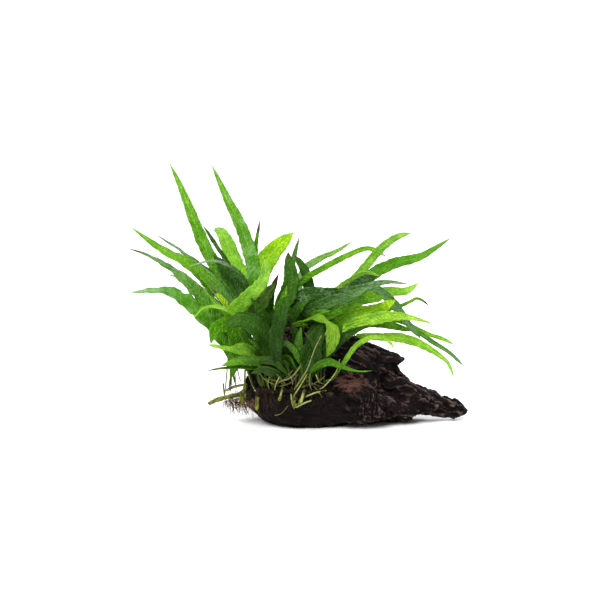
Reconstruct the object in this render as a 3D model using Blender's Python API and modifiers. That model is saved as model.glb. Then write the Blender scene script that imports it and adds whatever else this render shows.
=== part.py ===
"""A java fern growing on a piece of driftwood, which stands on its own flat foot.

The frame: origin at the middle of the wood's foot on the ground, X along the wood towards its thin tail,
Y from the front of the plant to its back, Z up. Lengths are in metres.
"""

import math
from collections import namedtuple

import bmesh
import bpy
import numpy as np
from mathutils import Matrix, Vector, noise
from mathutils.bvhtree import BVHTree

MM = 0.001

# Clearance between pieces that touch, and the room that one leaf leaves another
GAP = 0.3 * MM
LEAF_ROOM = 0.5 * MM

# The plant is set out on a drawing of its front: a route's points say how far right, up and back they show.
# The drawing is seen from a little above, and its centre is this far above the ground.
DRAWING_TILT = math.radians(8)
DRAWING_DISTANCE = 1.3
DRAWING_CENTRE = (-15, 93)
DRAWING_CENTRE_HEIGHT = 90.5
RIGHT = Vector((1, 0, 0))
RISE = Vector((0, math.sin(DRAWING_TILT), math.cos(DRAWING_TILT)))
AWAY = Vector((0, math.cos(DRAWING_TILT), -math.sin(DRAWING_TILT)))
MIDDLE = (RIGHT * DRAWING_CENTRE[0] + RISE * DRAWING_CENTRE_HEIGHT) * MM
EYE = MIDDLE - AWAY * DRAWING_DISTANCE

# The driftwood
WOOD_VOXEL = 2.6 * MM
WOOD_TRIANGLES = 2850
GRAIN_FALL = math.radians(24)
GRAIN_DEPTH = 2.6 * MM
GRAIN_WIDTH = 8 * MM
GRAIN_STRETCH = 6
SWELL_SIZE = 28 * MM
SWELL_DEPTH = 2 * MM
FOOT_CUT = 3 * MM

# Rhizomes, and what grows on them in one piece
RHIZOME_RADIUS = 2.4 * MM
RHIZOME_STEP = 3 * MM
RHIZOME_CLEARANCE = 0.35 * MM
CUT_STALK_RADIUS = 0.75 * MM

# Leaf stalks and blades
STALK_RADIUS = 0.8 * MM
STALK_RISE = 5 * MM
BLADE_HALF_THICKNESS = 0.55 * MM
TIP_HALF_WIDTH = 0.5 * MM
LEAF_STATIONS = 14
# The ways a blade's width runs: where it is widest, and how slowly it fills out
BLADE_KINDS = {
    "spear": (0.38, 0.9),
    "strap": (0.45, 0.55),
    "ribbon": (0.42, 0.4),
    "paddle": (0.56, 0.6),
    "taper": (0.32, 1.3),
}


def from_drawing(across, up, back):
    """The point that shows at (across, up) on the drawing and lies that far behind its plane, all in mm."""
    spread = 1 + back * MM / DRAWING_DISTANCE
    offset = RIGHT * (across - DRAWING_CENTRE[0]) + RISE * (up - DRAWING_CENTRE[1])
    return MIDDLE + (offset * spread + AWAY * back) * MM


def smooth_curve(points, count):
    """That many points at even steps along a smooth curve through the given ones."""
    given = np.array([tuple(p) for p in points], float)
    spans = np.linalg.norm(np.diff(given, axis=0), axis=1)
    knots = np.concatenate([[0], np.cumsum(spans)])
    slopes = np.gradient(given, knots, axis=0)
    fine = np.linspace(0, knots[-1], 40 * len(given))
    span = np.clip(np.searchsorted(knots, fine, side="right") - 1, 0, len(spans) - 1)
    length = spans[span][:, None]
    t = (fine[:, None] - knots[span][:, None]) / length
    curve = (
        (2 * t**3 - 3 * t**2 + 1) * given[span]
        + (t**3 - 2 * t**2 + t) * length * slopes[span]
        + (3 * t**2 - 2 * t**3) * given[span + 1]
        + (t**3 - t**2) * length * slopes[span + 1]
    )
    run = np.concatenate([[0], np.cumsum(np.linalg.norm(np.diff(curve, axis=0), axis=1))])
    even = np.linspace(0, run[-1], count)
    return [Vector([np.interp(s, run, curve[:, k]) for k in range(3)]) for s in even]


def ease(t):
    """0 up to t = 0, 1 from t = 1, and a smooth step between."""
    t = min(max(t, 0), 1)
    return t * t * (3 - 2 * t)


def square_to(direction, run):
    """The part of a direction that is square to the run, as a unit vector."""
    return (direction - run * direction.dot(run)).normalized()


def material(name, colour, roughness):
    made = bpy.data.materials.new(name)
    made.use_nodes = True
    shader = made.node_tree.nodes["Principled BSDF"]
    shader.inputs["Base Color"].default_value = (*colour, 1)
    shader.inputs["Roughness"].default_value = roughness
    shader.inputs["Metallic"].default_value = 0
    return made


def add_object(name, mesh, finish, collection):
    made = bpy.data.objects.new(name, mesh)
    mesh.materials.clear()
    mesh.materials.append(finish)
    mesh.shade_smooth()
    collection.objects.link(made)
    return made


def mesh_from(bm, name):
    """The finished bmesh as a mesh of that name."""
    mesh = bpy.data.meshes.new(name)
    bm.to_mesh(mesh)
    bm.free()
    return mesh


def evaluated_mesh(made):
    """A new mesh of the object as its modifiers leave it."""
    bpy.context.view_layer.update()
    graph = bpy.context.evaluated_depsgraph_get()
    return bpy.data.meshes.new_from_object(made.evaluated_get(graph))


def tree_of(mesh):
    points = [v.co.copy() for v in mesh.vertices]
    faces = [tuple(p.vertices) for p in mesh.polygons]
    return BVHTree.FromPolygons(points, faces)


for old in list(bpy.data.objects):
    bpy.data.objects.remove(old)
fern = bpy.data.collections.new("java_fern_on_driftwood")
guides = bpy.data.collections.new("guides")
bpy.context.scene.collection.children.link(fern)
bpy.context.scene.collection.children.link(guides)

bark = material("wet_driftwood", (0.055, 0.036, 0.032), 0.6)
rhizome_green = material("rhizome", (0.16, 0.19, 0.04), 0.5)
leaf_green = material("leaf", (0.09, 0.30, 0.02), 0.4)
root_brown = material("root", (0.10, 0.055, 0.04), 0.8)

# The driftwood's lumps, which are fused: a fat belly under a crown, a slab that ends in a beak, a thin tail.
# Each is its centre, its radii and its fall to the right, in mm and degrees.
WOOD_LUMPS = {
    "belly": ((-10, -2, 22), (47, 37, 25), 4),
    "left_root_end": ((-34, 0, 30), (22, 24, 22), -20),
    "crown": ((-14, 4, 44), (35, 27, 27), 0),
    "crown_right": ((14, 4, 48), (24, 25, 20), 12),
    "slab": ((34, 5, 49.5), (28, 21, 10.5), 20),
    "beak": ((53, 3, 49.5), (13, 13, 3.8), 13),
    "diagonal_ridge": ((50, -6, 34), (44, 15, 9), 31),
    "front_ridge": ((20, -24, 23), (36, 16, 15.5), 10),
    "low_right": ((42, -2, 16), (34, 26, 15), 3),
    "back_flank": ((14, 24, 24), (44, 17, 20), 10),
    "tail_root": ((68, 2, 18.5), (25, 16, 12), 12),
    "beak_root": ((56.5, 2, 34.5), (12.5, 14, 9), 42),
    "tail": ((93, 3, 13.5), (21, 8.5, 7.2), 12),
    "knot": ((26, -33, 31), (15, 8, 7), 8),
}
# Hollows pressed into the fused lumps: centre, radius and depth in mm
WOOD_HOLLOWS = {
    "under_beak": ((54, -14, 41), 9, 7),
    "beak_notch": ((67, 4, 45), 6, 5),
    "beside_knot": ((46, -22, 28), 9, 5),
    "over_knot": ((10, -28, 44), 12, 3),
    "foot_notch": ((53, -16, 0), 8, 9),
    "tail_notch": ((78, -8, 4), 7, 5),
    "back_hollow": ((8, 42, 34), 14, 6),
    "left_notch": ((-50, -14, 20), 8, 4),
}


def wood_relief(point):
    """Height of the wood's swells and of the weathered ridges that run along it and fall to its tail."""
    along_grain = Vector((math.cos(GRAIN_FALL), 0, -math.sin(GRAIN_FALL)))
    run = point.dot(along_grain)
    stretched = point - along_grain * (run - run / GRAIN_STRETCH)
    ridges = 1 - 2 * abs(noise.noise(stretched / GRAIN_WIDTH))
    swells = noise.noise(point / SWELL_SIZE)
    return GRAIN_DEPTH * (ridges - 0.6) + SWELL_DEPTH * swells


def fused_lumps():
    bm = bmesh.new()
    for centre, radii, fall in WOOD_LUMPS.values():
        place = (
            Matrix.Translation(Vector(centre) * MM)
            @ Matrix.Rotation(math.radians(fall), 4, "Y")
            @ Matrix.Diagonal((*(Vector(radii) * MM), 1))
        )
        bmesh.ops.create_icosphere(bm, subdivisions=4, radius=1, matrix=place)
    lumps = add_object("wood_lumps", mesh_from(bm, "wood_lumps"), bark, guides)
    fuse = lumps.modifiers.new("fuse", "REMESH")
    fuse.mode = "VOXEL"
    fuse.voxel_size = WOOD_VOXEL
    settle = lumps.modifiers.new("settle", "SMOOTH")
    settle.factor = 0.5
    settle.iterations = 4
    fused = evaluated_mesh(lumps)
    bpy.data.objects.remove(lumps)
    return fused


def weather(mesh):
    """Presses the hollows into the wood and raises its grain."""
    places = [(v.co.copy(), v.normal.copy()) for v in mesh.vertices]
    for vertex, (point, normal) in zip(mesh.vertices, places):
        push = wood_relief(point)
        for centre, radius, depth in WOOD_HOLLOWS.values():
            reach = (point - Vector(centre) * MM).length / (radius * MM)
            push -= depth * MM * math.exp(-reach * reach)
        vertex.co = point + normal * push


def driftwood():
    fused = fused_lumps()
    weather(fused)
    shape = add_object("wood_shape", fused, bark, guides)
    thin = shape.modifiers.new("fewer_faces", "DECIMATE")
    thin.ratio = WOOD_TRIANGLES / (2 * len(fused.polygons))
    bm = bmesh.new()
    bm.from_mesh(evaluated_mesh(shape))
    bpy.data.objects.remove(shape)
    floor = Vector((0, 0, FOOT_CUT))
    every = bm.verts[:] + bm.edges[:] + bm.faces[:]
    cut = bmesh.ops.bisect_plane(bm, geom=every, plane_co=floor, plane_no=(0, 0, -1), clear_outer=True)
    rim = [e for e in cut["geom_cut"] if isinstance(e, bmesh.types.BMEdge)]
    bmesh.ops.holes_fill(bm, edges=rim)
    bmesh.ops.triangulate(bm, faces=bm.faces[:])
    bmesh.ops.recalc_face_normals(bm, faces=bm.faces[:])
    bmesh.ops.translate(bm, verts=bm.verts[:], vec=-floor)
    return add_object("driftwood", mesh_from(bm, "driftwood"), bark, fern)


wood = driftwood()
wood_tree = tree_of(wood.data)

# The rhizomes, set out on the drawing: across, up and back in mm. They lie along the wood, but for the one
# at the side, which reaches the wood's left end from below.
RHIZOME_ROUTES = {
    "rhizome_top_front": [(-58, 52, -14), (-46, 62, -14), (-30, 68, -15), (-11, 70, -14), (8, 67, -12)],
    "rhizome_top_back": [
        (-50, 58, 12), (-36, 68, 14), (-20, 72, 14), (-3, 72, 14), (14, 68, 12), (24, 62, 18)
    ],
    "rhizome_face": [(-52, 26, -28), (-41, 27, -36), (-23, 24, -40), (-8, 23, -41), (4, 28, -40)],
    "rhizome_side": [(-84, 15, -10), (-76, 18.5, -13), (-68, 20.5, -14), (-60, 22.5, -13), (-53, 28, -10)],
}
SIDE_RHIZOME_POINTS = 12

# Short shoots that hang from the rhizomes, each with the place it leaves, its radius in mm and its route
SHOOTS = [
    ("rhizome_face", 0.10, 2.1, [(-47, 16, -37), (-47.5, 10, -38)]),
    ("rhizome_face", 0.66, 2.0, [(-20, 17, -45), (-19, 12, -46)]),
    ("rhizome_face", 0.80, 1.9, [(-14, 19, -45), (-15, 15, -46)]),
    ("rhizome_face", 0.45, 1.8, [(-30, 20, -43), (-31, 17, -43)]),
    ("rhizome_side", 0.75, 2.0, [(-58, 17, -17), (-58, 14, -17)]),
]
# Stalks that were cut, which rise from the shoots of the rhizome on the wood's face
CUT_STALKS = [
    [(-20, 14, -46), (-12, 16, -48), (-6, 18, -48)],
    [(-20.5, 17, -46), (-17, 24, -49), (-12, 31, -49)],
    [(-14, 19, -46), (-5, 23, -48), (4, 25, -47)],
]


def off_the_wood(point, clear):
    """The point itself, or the nearest place that is that far out of the wood."""
    near, normal, _, distance = wood_tree.find_nearest(point)
    away = point - near
    if away.dot(normal) <= 0:
        return near + normal * clear
    return point if distance >= clear else near + away.normalized() * clear


def creep(points):
    """The rhizome's route laid on the wood, with the gap of touching pieces."""
    length = sum((b - a).length for a, b in zip(points, points[1:]))
    route = smooth_curve(points, round(length / RHIZOME_STEP))
    clear = RHIZOME_RADIUS + GAP
    for _ in range(4):
        laid = []
        for point in route:
            near, normal, _, _ = wood_tree.find_nearest(point)
            laid.append(near + normal * clear)
        eased = [(a + b * 2 + c) / 4 for a, b, c in zip(laid, laid[1:], laid[2:])]
        route = [laid[0], *eased, laid[-1]]
    return route


def rhizome_route(name):
    points = [from_drawing(*p) for p in RHIZOME_ROUTES[name]]
    route = smooth_curve(points, SIDE_RHIZOME_POINTS) if name == "rhizome_side" else creep(points)
    return [off_the_wood(point, RHIZOME_RADIUS + GAP + RHIZOME_CLEARANCE) for point in route]


def along(route, share):
    """The point that share of the way along a route of even steps, and the direction there."""
    place = share * (len(route) - 1)
    first = min(int(place), len(route) - 2)
    step = route[first + 1] - route[first]
    return route[first] + step * (place - first), step.normalized()


def tube(name, route, radii, finish, collection):
    """A closed tube along a route, as a mesh object. radii holds one radius for each point."""
    curve = bpy.data.curves.new(name, "CURVE")
    curve.dimensions = "3D"
    curve.bevel_depth = 1
    curve.bevel_resolution = 1
    curve.use_fill_caps = True
    spline = curve.splines.new("POLY")
    spline.points.add(len(route) - 1)
    for spot, place, radius in zip(spline.points, route, radii):
        spot.co = (*place, 1)
        spot.radius = radius
    line = bpy.data.objects.new(name + "_line", curve)
    guides.objects.link(line)
    bm = bmesh.new()
    bm.from_mesh(evaluated_mesh(line))
    bpy.data.objects.remove(line)
    bmesh.ops.remove_doubles(bm, verts=bm.verts[:], dist=0.001 * MM)
    bmesh.ops.recalc_face_normals(bm, faces=bm.faces[:])
    return add_object(name, mesh_from(bm, name), finish, collection)


def fuse_to(base, shoot):
    """Joins a shoot to what it grows from, as one body."""
    join = base.modifiers.new("grown_on", "BOOLEAN")
    join.operation = "UNION"
    join.object = shoot
    base.data = evaluated_mesh(base)
    base.modifiers.remove(join)
    bpy.data.objects.remove(shoot)
    base.data.materials.clear()
    base.data.materials.append(rhizome_green)


def rhizome(name):
    route = rhizomes[name]
    radii = [RHIZOME_RADIUS * (0.85 + 0.15 * math.cos(2.1 * k)) for k in range(len(route))]
    radii[0] = radii[-1] = 0.7 * RHIZOME_RADIUS
    made = tube(name, route, radii, rhizome_green, fern)
    for parent, share, radius, shown in SHOOTS:
        if parent == name:
            start, _ = along(route, share)
            line = smooth_curve([start, *(from_drawing(*p) for p in shown)], 4)
            sizes = [radius * MM] * 3 + [0.8 * radius * MM]
            fuse_to(made, tube("shoot", line, sizes, rhizome_green, guides))
    if name == "rhizome_face":
        for shown in CUT_STALKS:
            line = smooth_curve([from_drawing(*p) for p in shown], 5)
            fuse_to(made, tube("cut_stalk", line, [CUT_STALK_RADIUS] * 5, rhizome_green, guides))
    return made


rhizomes = {name: rhizome_route(name) for name in RHIZOME_ROUTES}
rhizome_objects = [rhizome(name) for name in RHIZOME_ROUTES]

# The hair roots that hang free, as wedges that reach their tips: the middle of the top and of the bottom on
# the drawing, and the half width along and across at the top, in mm
ROOT_TUFTS = {
    "roots_side": ((-67, 16.6, -13), (-62, 5, -12), 9.5, 4),
    "roots_edge": ((-52, 17, -26), (-48.5, 3, -22), 5.5, 2.5),
}
TUFT_TIP_SHARE = 0.35


def root_tuft(name, top, bottom, half_width, half_depth):
    head = from_drawing(*top)
    foot = from_drawing(*bottom)
    turn = (head - foot).to_track_quat("Z", "Y").to_matrix().to_4x4()
    squash = Matrix.Diagonal((half_width * MM, half_depth * MM, 1, 1))
    bm = bmesh.new()
    bmesh.ops.create_cone(
        bm,
        cap_ends=True,
        cap_tris=True,
        segments=12,
        radius1=TUFT_TIP_SHARE,
        radius2=1,
        depth=(head - foot).length,
        matrix=Matrix.Translation((head + foot) / 2) @ turn @ squash,
    )
    return add_object(name, mesh_from(bm, name), root_brown, fern)


tufts = [root_tuft(name, *form) for name, form in ROOT_TUFTS.items()]

# The leaves, each with its rhizome and its place along it, the greatest width of its blade in mm and the way
# the width runs, the share that is bare stalk, its roll at the foot and at the tip, and its route on the
# drawing. A roll of 0 degrees shows the blade's face to the front, and 90 its edge.
Leaf = namedtuple("Leaf", "rhizome at width kind stalk roll shown")
LEAVES = {
    "pale_front": Leaf("rhizome_top_front", 0.08, 11.5, "strap", 0.12, (10, 30), [
        (-66, 82, -28), (-54, 95, -33), (-42, 109, -34), (-41.5, 125, -32)]),
    "curl_left": Leaf("rhizome_top_front", 0.12, 6, "ribbon", 0.12, (30, 60), [
        (-62, 80, -32), (-74, 87, -34), (-87, 87, -34), (-95, 79, -34)]),
    "yellow_streaked": Leaf("rhizome_top_front", 0.16, 6.5, "strap", 0.12, (20, 40), [
        (-62, 78, -22), (-72, 91, -24), (-81, 102, -24)]),
    "dusky_centre": Leaf("rhizome_top_front", 0.45, 13.5, "paddle", 0.05, (15, 40), [
        (-50, 82, -27), (-43, 93, -30), (-34, 106, -29)]),
    "bumpy_right": Leaf("rhizome_top_front", 0.62, 11, "taper", 0.06, (15, 30), [
        (-22, 88, -18), (-14, 96, -22), (0, 97.5, -25), (12, 97, -26),
        (30, 101, -27), (48, 106.5, -27), (69, 104.5, -25)]),
    "tall_left": Leaf("rhizome_top_front", 0.26, 10.8, "spear", 0.12, (10, 20), [
        (-61, 97, -8), (-83, 126, -4), (-94.5, 152.3, 0), (-106, 181, 6), (-113, 196, 9)]),
    "tall_right": Leaf("rhizome_top_front", 0.52, 10.8, "spear", 0.06, (-5, 15), [
        (-44, 90, -16), (-51, 122, -13), (-57, 142, -8), (-69, 167.5, -1), (-81.5, 195, 4)]),
    "arch_left": Leaf("rhizome_top_front", 0.4, 9, "strap", 0.06, (10, 70), [
        (-50, 92, -18), (-62, 114, -20), (-79, 122, -20), (-99, 118, -20)]),
    "upper_left": Leaf("rhizome_top_back", 0.22, 11.5, "spear", 0.12, (15, 30), [
        (-72, 95, 4), (-100.5, 120.5, 4), (-112.5, 127.5, 5), (-124.5, 134.8, 6), (-142, 147.8, 8)]),
    "strip_left": Leaf("rhizome_top_back", 0.1, 7, "strap", 0.12, (40, 55), [
        (-68, 84, 2), (-85, 98, 4), (-105, 115, 6)]),
    "broad_left": Leaf("rhizome_top_front", 0.2, 14, "strap", 0.06, (10, 20), [
        (-58, 85, -6), (-76, 101.5, -8), (-95, 120, -8)]),
    "dark_left": Leaf("rhizome_top_front", 0.36, 14, "strap", 0.06, (0, 20), [
        (-52, 90, -6), (-66, 109, -6), (-80, 127, -4)]),
    "mid_left": Leaf("rhizome_top_front", 0.03, 11.5, "taper", 0.12, (20, 40), [
        (-77, 76, -16), (-91, 97, -18), (-106, 112, -18),
        (-118.5, 120.8, -17), (-130.5, 127.1, -16), (-145, 132, -15)]),
    "dark_upright": Leaf("rhizome_top_front", 0.68, 13, "strap", 0.05, (5, 20), [
        (-27, 84, -18), (-22, 106, -18), (-24, 129, -16)]),
    "dark_spike": Leaf("rhizome_top_front", 0.57, 8, "spear", 0.05, (20, 40), [
        (-38, 84, -20), (-36, 100, -22), (-30.5, 114, -22)]),
    "dark_leaning": Leaf("rhizome_top_front", 0.82, 10, "strap", 0.05, (10, 30), [
        (-8, 88, -8), (-8.5, 104, -6), (-13, 117, -5), (-19, 126.5, -4)]),
    "long_arch": Leaf("rhizome_top_front", 0.74, 5, "ribbon", 0.12, (20, 35), [
        (-22, 96, -13), (-12, 108.5, -12), (3, 117.4, -11),
        (21, 126.7, -8), (37, 131.8, -4), (50.5, 125, 0)]),
    "blue_right": Leaf("rhizome_top_front", 0.78, 10, "strap", 0.06, (20, 40), [
        (-10, 82, -24), (4, 90.5, -30), (20, 95.5, -34), (37, 103, -36)]),
    "green_mid": Leaf("rhizome_top_front", 0.87, 9.5, "ribbon", 0.06, (20, 40), [
        (0, 78, -22), (10, 84.5, -26), (27, 92.5, -28), (49, 94.5, -28)]),
    "yellow_broad_right": Leaf("rhizome_top_front", 0.94, 11, "strap", 0.12, (10, 30), [
        (8, 74, -14), (22, 81, -18), (40, 85, -20), (57, 93, -22)]),
    "green_right": Leaf("rhizome_top_front", 0.99, 10, "taper", 0.12, (15, 30), [
        (12, 70.5, -18), (30, 76, -24), (48, 80.5, -26),
        (63, 80.6, -26), (75, 78.2, -26), (86, 74.8, -26)]),
    "twisted_front": Leaf("rhizome_top_front", 0.72, 12.5, "strap", 0.12, (60, 190), [
        (-18, 74, -34), (-10, 78, -40), (-1, 79, -44), (6.5, 75, -46),
        (9.5, 67, -46), (8.5, 59, -46), (5, 50, -45)]),
    "slim_behind": Leaf("rhizome_top_back", 0.3, 5.5, "spear", 0.15, (20, 35), [
        (-44, 95, 18), (-48.5, 130, 24), (-45, 153.5, 28)]),
    "yellow_broad": Leaf("rhizome_top_back", 0.4, 16, "paddle", 0.12, (5, 10), [
        (-45, 92, 20), (-46, 110, 24), (-39, 124.5, 27), (-20, 143.8, 31)]),
    "pale_round": Leaf("rhizome_top_back", 0.14, 13, "strap", 0.15, (0, 10), [
        (-54, 94, 22), (-64, 121, 28), (-74, 144, 36), (-79, 147, 50)]),
    "dark_slim": Leaf("rhizome_top_back", 0.07, 5.5, "ribbon", 0.12, (30, 40), [
        (-58, 94, 14), (-70, 121, 16), (-80, 137, 18), (-87.8, 149, 19)]),
    "slim_upper_left": Leaf("rhizome_top_back", 0.02, 5, "ribbon", 0.12, (35, 50), [
        (-68, 100, 12), (-92, 121, 16), (-106.5, 131.3, 19), (-123, 142, 23)]),
    "slim_upright": Leaf("rhizome_top_back", 0.48, 7, "spear", 0.06, (20, 35), [
        (-24, 96, 18), (-21, 120, 22), (-15.5, 140.5, 26)]),
    "pale_right": Leaf("rhizome_top_back", 0.6, 6.5, "spear", 0.12, (20, 35), [
        (-16, 100, 20), (-11, 117, 23), (0, 124.2, 25), (12, 129.5, 27), (24.7, 137.4, 28)]),
    "right_upper": Leaf("rhizome_top_back", 0.72, 7.5, "ribbon", 0.15, (15, 30), [
        (8, 90, 24), (22, 104, 28), (34.5, 119, 32),
        (48.75, 134.4, 38), (58, 140.6, 41), (68.5, 143, 44)]),
    "right_long": Leaf("rhizome_top_back", 0.78, 9.5, "spear", 0.12, (10, 25), [
        (12, 88, 14), (28, 103, 16), (45, 115.9, 17), (57, 121, 18),
        (75, 125.5, 19), (87, 132.4, 19.5), (98.5, 139.8, 20)]),
    "light_arch": Leaf("rhizome_top_back", 0.54, 6.5, "strap", 0.12, (45, 60), [
        (4, 92, 6), (22, 107, 4), (34, 113, 2), (46, 110.5, 0)]),
    "dark_under_arch": Leaf("rhizome_top_back", 0.66, 10, "strap", 0.12, (20, 30), [
        (10, 88, 8), (22, 105, 10), (43, 111, 12)]),
    "bright_right": Leaf("rhizome_top_back", 0.84, 9, "strap", 0.12, (15, 25), [
        (18, 84, 4), (38, 97, 0), (54, 99.5, -3), (65, 100, -5), (74, 106, -6)]),
    "blue_drop": Leaf("rhizome_top_back", 0.88, 8.5, "strap", 0.12, (15, 35), [
        (20, 88, -2), (38, 103, -8), (54, 92, -12), (65, 77, -14), (76, 63.5, -14)]),
    "green_right_low": Leaf("rhizome_top_back", 0.92, 7.5, "strap", 0.12, (20, 35), [
        (20, 70, 2), (38, 76, 0), (57, 73.3, -2), (70, 69.5, -2)]),
    "bright_drop": Leaf("rhizome_top_back", 0.96, 7.5, "ribbon", 0.12, (15, 30), [
        (28, 66, 2), (42, 65.5, -1), (63, 64.2, -3), (75, 60.2, -4),
        (87, 53.3, -4), (96, 46, -3), (100.5, 33.5, -2)]),
    "thin_curl": Leaf("rhizome_top_back", 0.81, 3.2, "ribbon", 0.12, (20, 30), [
        (22, 80, 24), (44, 84, 24), (63, 89.6, 24), (74.5, 94.2, 23), (82.5, 87.5, 22)]),
    "thin_drop_high": Leaf("rhizome_top_back", 0.9, 4, "ribbon", 0.12, (20, 30), [
        (30, 74, 26), (55, 78.5, 28), (72, 72, 28), (81, 67.5, 28), (93, 63.5, 27), (102.5, 58.5, 26)]),
    "thin_drop_low": Leaf("rhizome_top_back", 0.99, 4.2, "ribbon", 0.12, (20, 30), [
        (34, 78, 16), (56, 80, 14), (75, 68, 13), (87, 60, 12), (99, 52.2, 11), (108.3, 42.8, 10)]),
    "wood_arch": Leaf("rhizome_face", 0.97, 5, "ribbon", 0.25, (25, 40), [
        (8, 33, -46), (16, 43, -49), (22, 52.5, -49), (28.5, 60, -48),
        (42, 65.3, -46), (51, 63, -44), (56, 55.5, -43)]),
    "low_right": Leaf("rhizome_face", 0.78, 8.5, "taper", 0.2, (20, 50), [
        (-8, 36, -50), (6.5, 46.5, -54), (18, 42.5, -54), (29, 39.5, -52), (40, 40, -50)]),
    "dark_front": Leaf("rhizome_face", 0.7, 14, "strap", 0.2, (5, 20), [
        (-10, 44, -50), (-5, 58, -49), (2, 76, -46)]),
    "dark_front_right": Leaf("rhizome_face", 0.86, 12, "strap", 0.2, (10, 25), [
        (0, 48, -46), (8, 63, -44), (17, 74, -40)]),
    "drooping_left": Leaf("rhizome_side", 0.55, 13, "strap", 0.2, (10, 40), [
        (-62, 56, -24), (-68, 74, -30), (-79, 71, -38), (-82, 60, -42)]),
    "lower_left": Leaf("rhizome_side", 0.7, 12.5, "spear", 0.2, (15, 40), [
        (-73, 62, -20), (-90, 82.5, -24), (-106.5, 95.2, -26),
        (-118.5, 100.2, -27), (-131, 99.5, -28), (-144, 98.5, -28)]),
    "thin_low_left": Leaf("rhizome_face", 0.25, 5.5, "ribbon", 0.2, (15, 40), [
        (-43.5, 44, -44), (-52.5, 51, -48), (-64, 55, -50), (-75, 57.5, -50), (-84.5, 59.5, -49)]),
    "green_low_left": Leaf("rhizome_face", 0.42, 9, "strap", 0.15, (5, 25), [
        (-25, 35, -46), (-34, 42.5, -50), (-49, 47, -53), (-61.5, 47, -54), (-74, 43.5, -54)]),
    "thin_tip_left": Leaf("rhizome_face", 0.33, 4.5, "taper", 0.15, (15, 30), [
        (-36, 33.5, -44), (-46.5, 41.5, -48), (-60, 42.5, -50), (-75, 41.5, -50), (-85.5, 39.7, -49)]),
    "pale_low_left": Leaf("rhizome_face", 0.19, 8.5, "strap", 0.2, (15, 40), [
        (-47, 44, -44), (-50, 53, -48), (-58, 57, -50), (-68, 57, -50)]),
    "dark_broad_front": Leaf("rhizome_face", 0.38, 16, "strap", 0.2, (10, 20), [
        (-38, 56, -42), (-46, 71, -46), (-60, 78, -48), (-71, 73, -50)]),
    "dark_middle": Leaf("rhizome_face", 0.5, 11, "strap", 0.3, (5, 25), [
        (-31, 42, -46), (-33, 60, -46), (-30, 80, -40), (-23, 98, -36)]),
    "bright_front": Leaf("rhizome_face", 0.6, 9, "paddle", 0.2, (-10, 10), [
        (-27, 40, -48), (-24, 49, -55), (-17, 40, -62)]),
}

# A leaf that would touch another is slid back or forward along the line of sight, or its foot leans that way
SLIDES = [2 * MM * k for k in range(-20, 21)]
LEANS = [0, -0.35, 0.35, -0.7, 0.7, -1.2, 1.2]
LEAN_COST = 5 * MM
TRIES = sorted(((s, lean) for s in SLIDES for lean in LEANS), key=lambda t: abs(t[0]) + LEAN_COST * abs(t[1]))
OFF_WOOD_SHARE = 0.4
SLIDE_SETS_IN_BY = 0.45


def leaf_route(leaf, slide, lean):
    """The leaf's midline: off its rhizome, then as the drawing shows it, slid back little by little."""
    foot, run = along(rhizomes[leaf.rhizome], leaf.at)
    shown = [from_drawing(*p) for p in leaf.shown]
    _, wood_normal, _, _ = wood_tree.find_nearest(foot)
    aim = square_to(shown[0] - foot, run)
    aim = square_to(aim + wood_normal * OFF_WOOD_SHARE + AWAY * lean, run)
    start = foot + aim * (RHIZOME_RADIUS + GAP)
    points = [start, start + aim * STALK_RISE, *shown]
    spans = [(b - a).length for a, b in zip(points, points[1:])]
    length = sum(spans)
    for k in range(2, len(points)):
        sight = points[k] - EYE
        share = ease(sum(spans[:k]) / (SLIDE_SETS_IN_BY * length))
        points[k] = points[k] + sight * (slide * share / sight.dot(AWAY))
    return points


def blade_share(share, leaf):
    """How wide the blade is there, from 0 at the stalk's end and at the tip to 1 at its widest."""
    if share <= leaf.stalk or share >= 1:
        return 0
    widest, slowness = BLADE_KINDS[leaf.kind]
    s = (share - leaf.stalk) / (1 - leaf.stalk)
    return math.sin(math.pi * s ** (math.log(0.5) / math.log(widest))) ** slowness


def blade_frames(route, roll):
    """For each point of the route, the directions across the blade and out of its upper face."""
    steps = [(b - a).normalized() for a, b in zip(route, route[1:])]
    runs = [steps[0], *((a + b).normalized() for a, b in zip(steps, steps[1:])), steps[-1]]
    middle = len(route) // 2
    faces = [None] * len(route)
    faces[middle] = square_to(RISE - AWAY * 4, runs[middle])
    for k in range(middle + 1, len(route)):
        faces[k] = square_to(faces[k - 1], runs[k])
    for k in range(middle - 1, -1, -1):
        faces[k] = square_to(faces[k + 1], runs[k])
    frames = []
    for k, (run, face) in enumerate(zip(runs, faces)):
        share = k / (len(route) - 1)
        angle = math.radians(roll[0] + (roll[1] - roll[0]) * share)
        face = Matrix.Rotation(angle, 3, run) @ face
        frames.append((face.cross(run).normalized(), face))
    return frames


def leaf_form(leaf, points, room=0):
    """One leaf: a round stalk that flattens into a keeled blade. room makes it thicker all round."""
    route = smooth_curve(points, LEAF_STATIONS + 1)
    frames = blade_frames(route, leaf.roll)
    bm = bmesh.new()
    bmesh.ops.create_uvsphere(bm, u_segments=4, v_segments=LEAF_STATIONS, radius=1)
    for vertex in bm.verts:
        latitude = math.acos(max(-1, min(1, vertex.co.z))) / math.pi
        station = LEAF_STATIONS - round(latitude * LEAF_STATIONS)
        around = math.atan2(vertex.co.y, vertex.co.x)
        share = station / LEAF_STATIONS
        across, face = frames[station]
        flat = ease(4 * (share - leaf.stalk) / (1 - leaf.stalk))
        blade = (leaf.width * MM / 2 - TIP_HALF_WIDTH) * blade_share(share, leaf)
        side = STALK_RADIUS * (1 - flat) + TIP_HALF_WIDTH * flat + blade + room
        thick = STALK_RADIUS * (1 - flat) + BLADE_HALF_THICKNESS * flat + room
        if station in (0, LEAF_STATIONS):
            side = thick = 0
        vertex.co = route[station] + across * (side * math.cos(around)) + face * (thick * math.sin(around))
    return bm


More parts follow.
